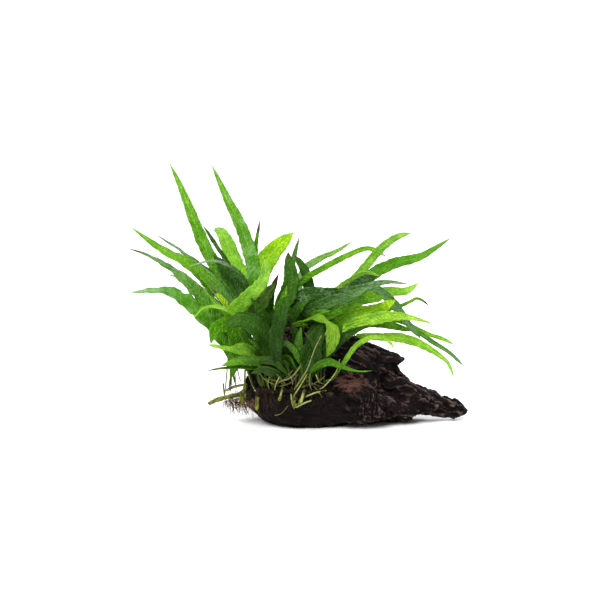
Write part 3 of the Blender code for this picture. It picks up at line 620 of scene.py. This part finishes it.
def leaf_finish(name, shine_through, glow):
    made, tone = new_finish(name)
    place, green = tone.place(), tone.noted("green", "Color")
    quilt, glint, lined = tone.noted("kinds", "Vector").parts()
    aside, run, edge = tone.noted("blade", "Vector").parts()
    brown, stalk = tone.noted("brown"), tone.noted("stalk")
    # Veins lean towards the tip as they leave the midrib, and a fine net joins them
    slanted = run - 0.7 * aside.size()
    sockets = {"Vector": tone.vector(aside, slanted * 0.8), "Scale": NET_SCALE}
    settings = {"feature": "DISTANCE_TO_EDGE"}
    net = tone.node("TexVoronoi", settings, sockets, "Distance")
    veins = (1 - net.step(0.02, 0.22)) * (0.35 + 0.65 * quilt)
    midrib = 1 - aside.size().step(0.12, 0.5)
    stripes = tone.vector(aside, run * 0.05).speckle(0.9, detail=2)
    patches = place.speckle(0.008)
    mottle = place.speckle(0.0014)
    light, shade = green.scaled(LIGHTER), green.scaled(DARKER)
    colour = (patches * 0.5 + mottle * 0.5).step(0.36, 0.66).tint(shade, light)
    # Painted highlight on the tops of the quilted cells
    colour = (net.step(0.15, 0.5) * quilt * 0.45).tint(colour, light)
    # Darker along the veins: partly their own colour, partly painted shade in the grooves between
    # the cells
    colour = (veins * 0.9).tint(colour, shade)
    colour = (stripes.step(0.48, 0.62) * lined * 0.7).tint(colour, light)
    colour = (midrib * (1 - stalk) * 0.5).tint(colour, light)
    # Painted highlight along the rim of the blade
    colour = (edge.step(0.86, 1) * 0.35).tint(colour, light)
    # Painted glints along the vein net, as much as the leaf's glint asks
    painted_glints = (1 - net.step(0.04, 0.2)) * (patches * 0.6 + mottle * 0.4).step(0.4, 0.6)
    colour = (painted_glints * glint * 0.75).tint(colour, PAINTED_GLINT_GREEN)
    colour = stalk.tint(colour, STALK_GREEN)
    spots = ((mottle - 0.5) * 0.9 + brown).step(0.42, 0.75)
    colour = spots.tint(colour, TIP_BROWN)
    height = net.step(0, 0.4) * (0.3 + 0.7 * quilt) + mottle * 0.25 + stripes * lined * 0.4
    bump = height.bump(0.8 * MM)
    surface = tone.skin(colour, 0.38 + 0.12 * veins + 0.1 * patches, 0.12, bump)
    through = tone.node("BsdfTranslucent", {}, {"Color": (*glow, 1), "Normal": bump})
    clear = (1 - 0.6 * spots) * (1 - 0.35 * veins) * shine_through
    return covered(made, tone.node("MixShader", {}, {0: clear, 1: surface, 2: through}))


leaf_skins = {
    THICK: leaf_finish("fern_leaf", 0.22, (0.08, 0.32, 0.004)),
    THIN: leaf_finish("thin_fern_leaf", 0.4, (0.27, 0.62, 0.014)),
    YOUNG: leaf_finish("young_fern_leaf", 0.48, (0.42, 0.73, 0.032)),
}


def solid_tree(node):
    """The node's solid as a tree that finds its nearest point."""
    bm = closed_copy(node)
    tree = BVHTree.FromBMesh(bm)
    bm.free()
    return tree


rhizome_trees = [solid_tree(name) for name in RHIZOMES]


def nearest_point(trees, point):
    return min((tree.find_nearest(point) for tree in trees), key=lambda hit: hit[3])[0]


def rows_from(bm, start):
    """The vertices in rows, by how many edges they lie from the start."""
    rows, seen = [[start]], {start}
    while rows[-1]:
        ahead = {e.other_vert(v) for v in rows[-1] for e in v.link_edges} - seen
        seen |= ahead
        rows.append(sorted(ahead, key=lambda v: v.index))
    return rows[:-1]


def middle_line(node):
    """The solid's rings from foot to tip, as centres, directions across and half widths."""
    bm = closed_copy(node)
    bm.verts.index_update()
    walks = [rows_from(bm, v) for v in bm.verts]
    walks = [w for w in walks if [len(r) for r in w] == [1] + [4] * (len(w) - 2) + [1]]
    rows = min(walks, key=lambda w: min(t.find_nearest(w[0][0].co)[3] for t in rhizome_trees))
    rings = [np.array([v.co for v in row]) for row in rows]
    bm.free()
    centres = np.array([ring.mean(0) for ring in rings])
    spokes = []
    for ring, centre in zip(rings[1:-1], centres[1:-1]):
        facing = min(range(1, 4), key=lambda k: norm(ring[0] + ring[k] - 2 * centre))
        others = [k for k in range(1, 4) if k != facing]
        pair = [(ring[0] - ring[facing]) / 2, (ring[others[0]] - ring[others[1]]) / 2]
        spokes.append(sorted(pair, key=norm, reverse=True))
    widths = [norm(pair[0]) for pair in spokes]
    broadest = np.argmax(widths)
    across = [None] * len(spokes)
    across[broadest] = spokes[broadest][0]
    # A nearly round ring keeps the direction of the one before it
    for order in (range(broadest + 1, len(spokes)), range(broadest - 1, -1, -1)):
        last = across[broadest]
        for k in order:
            choice = spokes[k][0]
            if widths[k] <= 1.25 * norm(spokes[k][1]):
                choice = max(spokes[k], key=lambda s: abs(s @ last) / norm(s))
            last = across[k] = choice * (1 if choice @ last >= 0 else -1)
    across = np.array([a / norm(a) for a in across])
    across = np.vstack([across[:1], across, across[-1:]])
    return centres, across, np.array([0, *widths, 0])


def drawn_out(values, knots, places):
    """A smooth curve through the values at the knots, read at those places."""
    values = np.asarray(values, float).reshape(len(knots), -1)
    slopes = np.gradient(values, knots, axis=0)
    span = np.clip(np.searchsorted(knots, places, side="right") - 1, 0, len(knots) - 2)
    length = (knots[span + 1] - knots[span])[:, None]
    t = (places[:, None] - knots[span][:, None]) / length
    return (
        (2 * t**3 - 3 * t**2 + 1) * values[span]
        + (t**3 - 2 * t**2 + t) * length * slopes[span]
        + (3 * t**2 - 2 * t**3) * values[span + 1]
        + (t**3 - t**2) * length * slopes[span + 1]
    )


def unit(rows):
    return rows / norm(rows, axis=1)[:, None]


def row_and_turn(vert, count):
    """Which row of a sphere a vertex is in, from its foot, and its angle round it."""
    k = round((1 - math.acos(max(-1, min(1, vert.co.z))) / math.pi) * count)
    return k, math.atan2(vert.co.y, vert.co.x) if 0 < k < count else 0.0


def leaf(name, look, centres, across, widths, seed, *nodes):
    lengths = norm(np.diff(centres, axis=0), axis=1)
    knots = np.append(0, np.cumsum(lengths))
    length = knots[-1]
    count = int(np.clip(length / ROW_LENGTH, FEWEST_ROWS, MOST_ROWS))
    places = np.linspace(0, length, count + 1)
    line = drawn_out(centres, knots, places)
    aside = drawn_out(across, knots, places)
    half = np.interp(places, knots, widths)
    if count > 50:
        half = np.convolve(np.pad(half, 3, "edge"), np.ones(7) / 7, "valid")
    if name in NARROWED:
        slim = half * np.interp(places / length, *np.array(NARROWED[name], float).T)
        stalk = np.maximum(slim, np.minimum(half, STALK_RADIUS))
        half = np.where(places / length < 0.5, stalk, slim)
    half[0] = half[-1] = 0
    run = unit(np.gradient(line, places, axis=0))
    aside -= run * np.sum(aside * run, axis=1)[:, None]
    aside = unit(aside)
    face = np.cross(run, aside)
    broadest = np.argmax(half)
    if face[broadest] @ np.array((0, -0.5, 1)) < 0:
        aside, face = -aside, -face
    foot_green, tip_green = np.array(look.foot), np.array(look.tip)
    # A painted sheen shows only late towards the tip
    tip_from = 0.65 if look.tip == PAINTED_SHEEN else 0.35
    bm = bmesh.new()
    bmesh.ops.create_uvsphere(bm, u_segments=COLUMNS, v_segments=count, radius=1)
    blades, greens, browns, stalks = [], [], [], []
    for vert in bm.verts:
        k, turn = row_and_turn(vert, count)
        s, w, t = places[k] / MM, half[k], places[k] / length
        # 0 where it is a round stalk and 1 where it is a flat blade
        share = 1.0 if t > 0.5 else float(smooth_step(w, 1.1 * STALK_RADIUS, 2.4 * STALK_RADIUS))
        x = 1 - 2 * abs(turn) / math.pi
        top = 0.0 if abs(x) > 0.999 else math.copysign(1, turn)
        wave = noise.noise((s / LONG_WAVE, x * 0.8 + 0.5, seed))
        wave = wave + 0.4 * noise.noise((s / SHORT_WAVE, x, seed + 5))
        bitten = BITE * share * noise.noise((s / BITE_LENGTH, math.copysign(3, x), seed + 9))
        slant = abs(x) * w / MM * 0.4
        pillow = noise.noise((s / PILLOW_LENGTH - slant, x * w / MM / PILLOW_WIDTH, seed + 2))
        width = w * (1 + bitten)
        lift = abs(x) * CUP * width + look.ruffle * RUFFLE * wave * abs(x) ** 2 * width
        lift += look.quilt * PILLOW_HEIGHT * MM * pillow * (1 - x**4)
        thick = (EDGE_THICKNESS + MIDDLE_THICKER * (1 - x * x)) * MM
        rib = math.exp(-((x * width / MM / RIB_WIDTH) ** 2)) * MM
        thick += rib * (RIB_ABOVE if top > 0 else RIB_BELOW) * (1 - 0.6 * t)
        taper = min(1, (1 - t) * length / (TIP_LENGTH * MM))
        flat = Vector(aside[k]) * (x * width) + Vector(face[k]) * (lift + top * thick * taper)
        radius = min(w, STALK_RADIUS) if t < 0.5 else 0
        spoke = Vector(aside[k]) * math.cos(turn) + Vector(face[k]) * math.sin(turn)
        end = 0 if k in (0, count) else 1
        vert.co = Vector(line[k]) + (flat * share + spoke * radius * (1 - share)) * end
        blades.append((x * w / MM, s, abs(x)))
        blend = float(smooth_step(t, tip_from, 0.98))
        greens.append((*(foot_green * (1 - blend) + tip_green * blend), 1))
        stalks.append(1 - share if t < 0.5 else 0)
        ends = 1 - look.brown * 1.6, 1 - look.brown * 0.3
        browns.append(smooth_step(t, *ends) if look.brown else 0)
    mesh = mesh_from(bm, name)
    right, up = seen_at(points_and_normals(mesh)[0])
    # Painted shade: each leaf's green is darkened towards the plant's heart
    from_shaded_heart = np.hypot((right - SHADED_HEART[0]) / SHADED_HEART_WIDTH, up - SHADED_HEART[1])
    painted_shade = 0.5 + 0.5 * smooth_step(from_shaded_heart, *SHADED_HEART_REACH)
    kinds = (look.quilt / MOST_QUILTED, look.glint, look.lined)
    note(mesh, "blade", blades)
    note(mesh, "kinds", [kinds] * len(blades))
    note(mesh, "green", np.array(greens) * painted_shade[:, None])
    note(mesh, "brown", browns)
    note(mesh, "stalk", stalks)
    add_piece(name, mesh, leaf_skins[look.skin], "leaf", *nodes)


leaf_trees = []
for number, (name, look) in enumerate(LOOKS.items()):
    node = "leaf_" + name
    leaf("blade_" + name, Look(*look), *middle_line(node), 10.3 * number, node)
    leaf_trees.append(solid_tree(node))


# The small leaves that fill the plant between the large ones, made the same way. Each grows from
# the rhizome nearest its first point, through points in mm to the right, up and back as the camera
# sees them.
DARK, GREENER = Look(*OLD, 0.12, 0.16), Look(*GROWN, 0.12, 0.16)
DARK_LINED, DARK_LOW = DARK._replace(lined=1), DARK._replace(quilt=0.14, lined=1)
SMALL_LEAVES = {
    "slim_tip_upper_left": (Look(MID, BRIGHT, THIN, 0.1, 0.06), 4, 0.2, [
        (-60, 66, -24), (-78, 90, -20), (-95, 104, -14), (-108, 110.5, -12), (-117, 112.6, -12)]),
    "inner_left_low": (Look(*GROWN, 0.12, 0.2, 0, 0, 1), 8, 0.3, [
        (-46, 56, -16), (-50, 72, -20), (-58, 84, -22), (-64, 92, -24)]),
    "inner_left_dark": (Look(*OLD, 0.12, 0.2), 9, -0.3, [
        (-38, 60, -18), (-40, 78, -24), (-47, 88, -28), (-52, 95, -30)]),
    "inner_left_high": (Look(*GROWN, 0.12, 0.22), 8, 0.4, [
        (-30, 62, -16), (-31, 82, -24), (-27, 95, -28), (-25, 104, -29)]),
    "inner_middle_dark": (Look(*OLD, 0.12, 0.2), 8, -0.4, [
        (-22, 64, -16), (-20, 80, -24), (-15, 88, -30), (-8, 93, -33)]),
    "inner_right": (Look(*GROWN, 0.12, 0.2), 8, 0.2, [
        (-14, 64, -14), (-10, 76, -24), (-2, 82, -32), (8, 85, -36)]),
    "lower_middle_left": (Look(*OLD, 0.14, 0.2, 0, 0, 1), 9, 0.3, [
        (-18, 30, -42), (-20, 46, -48), (-27, 60, -50), (-36, 70, -52)]),
    "lower_middle_upright": (Look(*GROWN, 0.14, 0.2), 8, -0.2, [
        (-10, 30, -42), (-12, 46, -49), (-16, 60, -50), (-14, 73, -48)]),
    "lower_middle_right": (Look(DEEP, DUSKY, THICK, 0.14, 0.2, 0, 0, 1), 7, 0.5, [
        (-2, 32, -42), (-1, 46, -50), (-5, 60, -54), (-12, 69, -56)]),
    "lower_left_inner": (Look(MID, MID, THICK, 0.14, 0.2), 8, -0.3, [
        (-34, 30, -42), (-38, 44, -50), (-44, 56, -53), (-54, 64, -54)]),
    "lower_left_outer": (Look(MID, FRESH, THICK, 0.14, 0.16), 6, 0.2, [
        (-44, 28, -38), (-46, 42, -46), (-52, 50, -52), (-62, 52, -54)]),
    "slim_right": (Look(*GROWN, 0.1, 0.2), 6, 0.3, [
        (2, 64, -12), (6, 80, -18), (14, 90, -20), (26, 98, -20)]),
    "folded_low": (Look(DUSKY, DUSKY, THICK, 0.14, 0.14, 0, 0, 1), 7, 0.8, [
        (-28, 32, -42), (-31, 40, -50), (-27, 46, -54), (-22, 36, -56)]),
    "low_middle": (Look(DUSKY, DEEP, THICK, 0.14, 0.16, 0, 0, 1), 8, -0.5, [
        (-46, 30, -40), (-43, 48, -48), (-34, 46, -52), (-23, 36, -52)]),
    "small_upright": (Look(MID, COOL, THICK, 0.1, 0.1), 5, 0.2, [
        (-15, 45, -50), (-22, 58, -52), (-30, 63.5, -54), (-32.5, 70, -54)]),
    "yellow_strip": (Look(BRIGHT, LIT, YOUNG, 0.1, 0.08), 3.2, 0.1, [
        (-16, 62, -20), (-14, 74, -26), (-13, 82, -28), (-13.5, 90, -30)]),
    "dark_gap_left": (Look(*GROWN, 0.12, 0.18), 7, -0.2, [
        (-56, 52, -16), (-60, 64, -20), (-70, 72, -22), (-78, 78, -22)]),
    "dark_gap_right": (Look(*OLD, 0.12, 0.18), 7, 0.3, [
        (4, 46, -30), (14, 62, -30), (26, 70, -28), (38, 74, -26)]),
    "top_fill_far": (DARK, 8, 0.1, [
        (-20, 66, 20), (-6, 72, 22), (8, 76, 22), (22, 78, 20)]),
    "top_fill_right": (DARK, 9, 0.2, [
        (-30, 68, 6), (-18, 75, 8), (-2, 77, 10), (12, 74, 10)]),
    "top_fill_left": (DARK, 9, -0.2, [
        (-50, 60, -2), (-40, 66, 0), (-28, 72, 0), (-14, 72, 2)]),
    "left_fill": (GREENER, 9, 0.2, [
        (-48, 44, -30), (-50, 56, -34), (-58, 68, -36), (-62, 76, -36)]),
    "left_fill_long": (GREENER, 8, -0.2, [
        (-52, 56, -18), (-62, 72, -20), (-74, 83, -20), (-86, 90, -18)]),
    "low_front_dark": (DARK_LOW, 9, 0.3, [
        (-44, 33, -44), (-42, 42, -50), (-34, 42, -54), (-22, 34.5, -56)]),
    "low_fill_left": (DARK_LINED, 9, 0.2, [
        (-46, 30, -36), (-47, 48, -40), (-44, 62, -44), (-36, 72, -46)]),
    "low_fill_outer": (GREENER, 8, -0.2, [
        (-52, 30, -30), (-55, 46, -34), (-56, 60, -36), (-52, 74, -38)]),
    "low_fill_middle": (DARK_LINED, 10, 0.2, [
        (-14, 38, -36), (-15, 52, -38), (-17, 64, -40), (-22, 76, -42)]),
    "low_fill_right": (DARK_LINED, 9, -0.3, [
        (-6, 38, -34), (-6, 52, -36), (-8, 64, -38), (-4, 76, -38)]),
    "low_front_right": (DARK_LOW, 8, 0.4, [
        (-12, 30, -44), (-7, 40, -48), (0, 46, -50), (8, 50, -48)]),
    "low_front_left": (Look(DEEP, DUSKY, THICK, 0.12, 0.14, 0, 0, 1), 8, -0.4, [
        (-30, 30, -46), (-34, 38, -50), (-42, 41, -53), (-52, 38, -54)]),
    "speck_fill_left": (DARK, 9, 0.2, [
        (-34, 62, 4), (-29, 73, 6), (-20, 81, 6), (-8, 86, 4)]),
    "speck_fill_right": (DARK, 9, -0.2, [
        (-12, 58, 2), (-2, 69, 4), (8, 77, 4), (20, 83, 2)]),
    "dark_low_right": (DARK_LINED, 9, -0.3, [
        (0, 34, -40), (4, 50, -44), (12, 62, -40), (22, 68, -36)]),
}
# How far back a leaf may be slid to cross the others least, in mm
SLIDES = [0, 3, -3, 6, -6, 9, -9, 12, -12]
STATIONS = 14
# How many rings are only stalk, and the share of the length where the blade starts
STALK_STATIONS = 3
BLADE_START = 0.22


def from_drawing(across, up, back):
    """The point that the camera sees so many mm right of the origin and above it, that far back."""
    offset = RIGHT * (across - DRAWING_CENTRE[0]) + RISE * (up - DRAWING_CENTRE[1])
    return middle + (offset * (1 + back * MM / CAMERA_DISTANCE) + AWAY * back) * MM


def small_leaf(points, width, roll):
    """Centres, directions across and half widths for a leaf that starts on the nearest rhizome."""
    line = [from_drawing(*point) for point in points]
    foot = nearest_point(rhizome_trees, line[0])
    steps = [foot, foot.lerp(line[0], 0.7) + Vector((0, 0, 3 * MM)), *line[1:]]
    knots = np.append(0, np.cumsum([(b - a).length for a, b in zip(steps, steps[1:])]))
    places = np.linspace(0, knots[-1], STATIONS)
    centres = drawn_out(steps, knots, places)
    run = unit(np.gradient(centres, axis=0))
    aside = unit(np.cross(run, np.array(AWAY)))
    t = np.linspace(0, 1, STATIONS)
    turns = roll * (0.5 + t)[:, None]
    across = aside * np.cos(turns) + np.cross(run, aside) * np.sin(turns)
    along = np.clip((t - BLADE_START) / (1 - BLADE_START), 0, 1)
    blade = np.sin(np.pi * along**0.85) ** 0.8 * width / 2 * MM
    widths = np.where(t < 0.5, np.maximum(blade, STALK_RADIUS), blade)
    widths[0] = widths[-1] = 0
    return centres, across, widths


def ribbon_tree(centres, across, widths):
    """The leaf's blade as a flat ribbon, in a tree that finds what it crosses."""
    rims = np.vstack([centres - across * widths[:, None], centres + across * widths[:, None]])
    starts = range(STALK_STATIONS, STATIONS - 1)
    quads = [(k, k + 1, STATIONS + k + 1, STATIONS + k) for k in starts]
    return BVHTree.FromPolygons(rims.tolist(), quads)


for number, (name, (look, width, roll, points)) in enumerate(SMALL_LEAVES.items()):
    choices = []
    for order, slide in enumerate(SLIDES):
        slid = [points[0], *((a, u, b + slide) for a, u, b in points[1:])]
        shape = small_leaf(slid, width, roll)
        ribbon = ribbon_tree(*shape)
        front_most = (shape[0] - np.abs(shape[1]) * shape[2][:, None])[:, 1].min()
        touches = sum(len(ribbon.overlap(tree)) for tree in leaf_trees)
        choices.append((front_most < cad_box[0][1], touches, order, shape, ribbon))
    shape, ribbon = min(choices, key=lambda choice: choice[:3])[3:]
    leaf_trees.append(ribbon)
    leaf("small_" + name, look, *shape, 731.7 + 10.3 * number)


# The bare stalks and young shoots: wiry pale stalks whose leaves are gone or not yet open, and
# short thick olive shoots. They hang from the rhizomes over the wood's face and at its left end.
STRAW, LIME = (0.25, 0.3, 0.08), (0.3, 0.42, 0.1)
OLIVE, RUSTY = (0.085, 0.105, 0.012), (0.085, 0.05, 0.022)
STALK_SPOTS = (0.06, 0.046, 0.016)
# Colour, radius, and points across, up and back in mm. One without the third lies on the wood.
STALKS_ON_FACE = [
    (STRAW, 0.55, [(-14.4, 44.1, -58), (-19, 37.5, -60), (-24, 33.8, -58), (-31.7, 31.6, -53)]),
    (OLIVE, 1.1, [(-31.7, 31.6), (-34.8, 29.5), (-35.2, 22.6)]),
    (OLIVE, 1, [(-27.2, 30.2), (-28.9, 24), (-30.3, 18.4)]),
    (STRAW, 0.5, [(-30, 18.8), (-28, 20.4), (-26.2, 21.6)]),
    (OLIVE, 1, [(-21.3, 28.2), (-21.3, 19.8), (-19.2, 10.8)]),
    (STRAW, 0.6, [(-18.5, 12.2), (-12, 15.5), (-6, 17.8)]),
    (STRAW, 0.5, [(-20.6, 19.5), (-13, 31.6, -56), (-9.5, 37.9, -58)]),
    (STRAW, 0.5, [(-19.9, 24.7), (-13.7, 34.4, -57), (-9, 42, -59), (-4, 56, -58), (2, 68, -54)]),
    (OLIVE, 1.3, [(-11.6, 26), (-13, 21.2), (-14.7, 15)]),
    (STRAW, 0.6, [(-10.9, 20.5), (-2.6, 23.7), (5.7, 25.4)]),
    (STRAW, 0.55, [(-1.2, 24), (0.5, 21.8), (1.6, 19.8)]),
    (OLIVE, 0.5, [(-14, 27.5), (-6.7, 29.5), (-2.6, 26.1), (-0.5, 22.6)]),
    (STRAW, 0.45, [(-7.4, 37.9, -56), (-8.1, 30.9, -54), (-6, 24.7)]),
    (OLIVE, 0.4, [(-3.3, 37.9, -54), (-0.5, 31.6, -52), (5, 29.5)]),
    (STRAW, 0.5, [(15, 49, -50), (12, 39, -48), (4, 29, -47), (-1, 25.5)]),
    (STRAW, 0.5, [(-37, 38, -54), (-39, 31, -52), (-38, 26, -50)]),
    (OLIVE, 0.5, [(-30, 36, -56), (-33, 30, -53), (-34, 25)]),
    (STRAW, 0.45, [(-24, 38, -56), (-21, 33, -55), (-20.5, 29, -52)]),
    (RUSTY, 0.3, [(-34.5, 6.3), (-28.9, 8), (-23.4, 14.3)]),
    (OLIVE, 0.45, [(-46, 39, -52), (-41, 33, -52), (-34, 29.5, -50)]),
    (OLIVE, 0.45, [(-20, 41, -56), (-27, 33, -55), (-36, 29, -50)]),
    (RUSTY, 0.4, [(-34, 39, -55), (-27, 31.5, -54), (-23, 27)]),
    (OLIVE, 0.5, [(-16, 38, -56), (-22, 31, -54), (-31, 28, -51)]),
    (RUSTY, 0.35, [(-42, 34, -51), (-33, 32.5, -54), (-25, 29.5, -52)]),
    (OLIVE, 0.4, [(-8, 36, -54), (-15, 31, -54), (-18, 26)]),
    (OLIVE, 0.45, [(4, 36, -50), (-3, 31, -51), (-10, 28.5, -50)]),
    (RUSTY, 0.3, [(-12, 34, -54), (-6, 30.5, -53), (1, 28, -49)]),
]
STALKS_AT_SIDE = [
    (LIME, 0.6, [(-55.3, 42, -22), (-51.3, 31), (-48.2, 24)]),
    (LIME, 0.8, [(-56, 42.7, -20), (-56.5, 30, -18), (-56, 24, -15)]),
    (OLIVE, 1, [(-56, 24, -12), (-56.7, 17, -13), (-58.8, 13.6, -14)]),
    (LIME, 0.6, [(-68.8, 50.4, -20), (-69.9, 37.9, -16), (-71.4, 21.2, -14)]),
    (RUSTY, 0.4, [(-65, 51.7, -20), (-63.6, 36.5, -16), (-63.3, 31, -14)]),
    (RUSTY, 0.5, [(-62.2, 42.7, -18), (-61, 37, -16), (-59.5, 31.6, -14)]),
    (OLIVE, 0.7, [(-72.6, 31, -15), (-72.2, 26, -14), (-71.6, 21.2, -14)]),
    (OLIVE, 1.2, [(-70.6, 24.7, -14), (-65.7, 27.5, -14), (-60.2, 28.9, -13), (-54, 30, -11)]),
    (STRAW, 0.7, [(-44.9, 37.9, -20), (-43.5, 31, -19), (-45.6, 27.5, -18)]),
    (OLIVE, 0.6, [(-37.3, 34.4, -22), (-40, 31, -21), (-42.8, 28.9, -20)]),
    (STRAW, 0.6, [(-62, 48, -22), (-66, 38, -18), (-66.5, 28, -14)]),
]
STALK_SIDES, ROWS_TO_A_POINT, STALK_THINNING = 9, 4, 0.25
wood_tree = solid_tree("driftwood")
face_tree = rhizome_trees[list(RHIZOMES).index("rhizome_face")]


def on_wood(across, up, proud):
    """The point of the wood or rhizome that the camera sees there, or one beside the wood."""
    aim = from_drawing(across, up, 0)
    hits = [tree.ray_cast(eye, (aim - eye).normalized())[0] for tree in (wood_tree, face_tree)]
    hits = [hit for hit in hits if hit] or [wood_tree.find_nearest(aim)[0]]
    back = min((hit - eye) @ AWAY for hit in hits) / MM - CAMERA_DISTANCE / MM
    return from_drawing(across, up, back - proud)


def stalk_finish():
    made, tone = new_finish("bare_stalk")
    mottle = tone.place().speckle(0.0016)
    colour = mottle.step(0.5, 0.74).tint(tone.noted("green", "Color"), STALK_SPOTS)
    return covered(made, tone.skin(colour, 0.5 + 0.2 * mottle, 0.2))


def thread(bm, points, radius, thinning=0.65, sides=5, count=9):
    """One closed thread along those points, thinning to its end, with so many rows of faces."""
    knots = np.linspace(0, 1, len(points))
    line = drawn_out(points, knots, np.linspace(0, 1, count + 1))
    made = bmesh.ops.create_uvsphere(bm, u_segments=sides, v_segments=count, radius=1)["verts"]
    for vert in made:
        k, turn = row_and_turn(vert, count)
        run = Vector(line[min(k + 1, count)] - line[max(k - 1, 0)]).normalized()
        side = run.cross((0, 1, 0.1)).normalized()
        size = 0 if k in (0, count) else radius * (1 - thinning * k / count)
        spoke = side * math.cos(turn) + run.cross(side) * math.sin(turn)
        vert.co = Vector(line[k]) + spoke * size
    return len(made)


stalk_skin = stalk_finish()
for name, stalks in (("stalks_on_face", STALKS_ON_FACE), ("stalks_at_side", STALKS_AT_SIDE)):
    bm = bmesh.new()
    tinted = []
    for colour, radius, points in stalks:
        points = [from_drawing(*p) if len(p) == 3 else on_wood(*p, radius + 1) for p in points]
        shape = STALK_THINNING, STALK_SIDES, ROWS_TO_A_POINT * len(points)
        tinted += [(*colour, 1)] * thread(bm, points, radius * MM, *shape)
    mesh = mesh_from(bm, name)
    note(mesh, "green", tinted)
    add_piece(name, mesh, stalk_skin, "rhizome")


# The hair roots: brown threads finer than string, each a closed taper. Two tufts hang free inside
# their solids, from the nearest point of the wood or a rhizome. The others cling to the wood's face
# and top, or tangle at its left end.
Tuft = namedtuple("Tuft", "head foot reach end count")
TUFTS = {
    "roots_side": Tuft((-65, 17, -13), (-61, 4.5, -12), 8.5, 7, 130),
    "roots_edge": Tuft((-53, 18, -24), (-49.5, 2.5, -22), 6.5, 5, 70),
}
# A tuft's depth for its width, how much wider it is below, and how far its threads sway in mm
TUFT_DEPTH, TUFT_WIDER, SWAY = 0.45, 1.6, 1.1
# How many threads cling to the face, lie on top along each of its rhizomes, and tangle
CLINGING, ON_TOP, TANGLED = 420, 160, 150
# Where clinging threads start across and up, and how far they go down, in mm
LEFT_END, FACE = ((-54, -34), (16, 38), (6, 18)), ((-40, 6), (22, 33), (3, 13))
# A thread with a longer step leaps from one part of the wood to another, and is left out
LONGEST_STEP = 10 * MM
BATCH = 20
HANGING_RADIUS, CLINGING_RADIUS, TANGLED_RADIUS = (0.07, 0.16), (0.12, 0.28), (0.1, 0.24)


def root_finish(name, dark, light):
    made, tone = new_finish(name)
    patches = tone.place().speckle(0.0008, (1, 1, 5))
    colour = patches.step(0.4, 0.64).tint(dark, light)
    return covered(made, tone.skin(colour, 0.55 + 0.2 * patches, 0.15))


def add_roots(name, threads, skin, *nodes):
    """One piece of closed threads, made a few at a time and then joined."""
    whole = bmesh.new()
    for first in range(0, len(threads), BATCH):
        bm = bmesh.new()
        for each in threads[first : first + BATCH]:
            thread(bm, *each)
        batch = mesh_from(bm, "batch")
        whole.from_mesh(batch)
        bpy.data.meshes.remove(batch)
    add_piece(name, mesh_from(whole, name), skin, "roots", *nodes)


hanging_skin = root_finish("hanging_roots", (0.022, 0.010, 0.006), (0.25, 0.135, 0.09))
clinging_skin = root_finish("clinging_roots", (0.008, 0.005, 0.003), (0.036, 0.021, 0.012))
tangled_skin = root_finish("tangled_roots", (0.020, 0.013, 0.007), (0.105, 0.072, 0.035))
for name, tuft in TUFTS.items():
    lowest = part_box(name)[0][2]
    draw = random.Random(name)
    threads = []
    for _ in range(tuft.count):
        angle, share = draw.uniform(0, math.tau), math.sqrt(draw.random())
        spread = Vector((math.cos(angle), 0, math.sin(angle) * TUFT_DEPTH)) * share
        a = Vector(tuft.head) + spread * tuft.reach
        b = Vector(tuft.foot) + spread * tuft.end * TUFT_WIDER
        b = a.lerp(b, draw.uniform(0.25, 1))
        sway = [Vector([draw.uniform(-1, 1) * SWAY for _ in range(3)]) for _ in range(3)]
        line = [a, a.lerp(b, 0.3) + sway[0], a.lerp(b, 0.65) + sway[1], b + sway[2] * 0.7]
        line = [from_drawing(*p) for p in line]
        line = [Vector((p.x, p.y, max(p.z, lowest))) for p in line]
        line[0] = nearest_point([wood_tree, *rhizome_trees], line[0])
        threads.append((line, draw.uniform(*HANGING_RADIUS) * MM))
    add_roots(name + "_threads", threads, hanging_skin, name)

draw = random.Random("clinging roots")
threads = []
for _ in range(CLINGING):
    ends = LEFT_END if draw.random() < 0.5 else FACE
    across, top, drop = [draw.uniform(*reach) for reach in ends]
    low = top - drop
    drift = draw.uniform(-9, 9)
    proud = draw.uniform(0.2, 1.6)
    line = []
    for s in (0, 0.33, 0.66, 1):
        aside = across + drift * s + draw.uniform(-1, 1)
        line.append(on_wood(aside, max(top + (low - top) * s, 3), proud))
    if max((b - a).length for a, b in zip(line, line[1:])) < LONGEST_STEP:
        threads.append((line, draw.uniform(*CLINGING_RADIUS) * MM))
add_roots("roots_on_wood", threads, clinging_skin)

draw = random.Random("roots on top")
threads = []
for name in ("rhizome_top_front", "rhizome_top_back"):
    bm = closed_copy(name)
    starts = [v.co.copy() for v in bm.verts]
    bm.free()
    for _ in range(ON_TOP):
        line = [draw.choice(starts).lerp(draw.choice(starts[:1] + starts), 0.02)]
        angle = draw.uniform(0, math.tau)
        for _ in range(3):
            angle += draw.uniform(-0.5, 0.5)
            step = Vector((math.cos(angle), math.sin(angle), -0.5)) * draw.uniform(1.5, 4) * MM
            place, outwards = wood_tree.find_nearest(line[-1] + step)[:2]
            line.append(place + outwards * draw.uniform(0.6, 1.6) * MM)
        threads.append((line, draw.uniform(*CLINGING_RADIUS) * MM))
add_roots("roots_on_top", threads, clinging_skin)

draw = random.Random("tangled roots")
threads = []
for _ in range(TANGLED):
    across, back = draw.uniform(-68, -47), draw.uniform(-19, -8)
    up = 17 + (across + 68) * 0.45 + draw.uniform(-4, 5)
    line = [Vector((across, up, back))]
    for _ in range(3):
        step = (draw.uniform(-3, 3), draw.uniform(-4.5, 2), draw.uniform(-2, 2))
        line.append(line[-1] + Vector(step))
    threads.append(([from_drawing(*p) for p in line], draw.uniform(*TANGLED_RADIUS) * MM))
add_roots("roots_tangled", threads, tangled_skin)
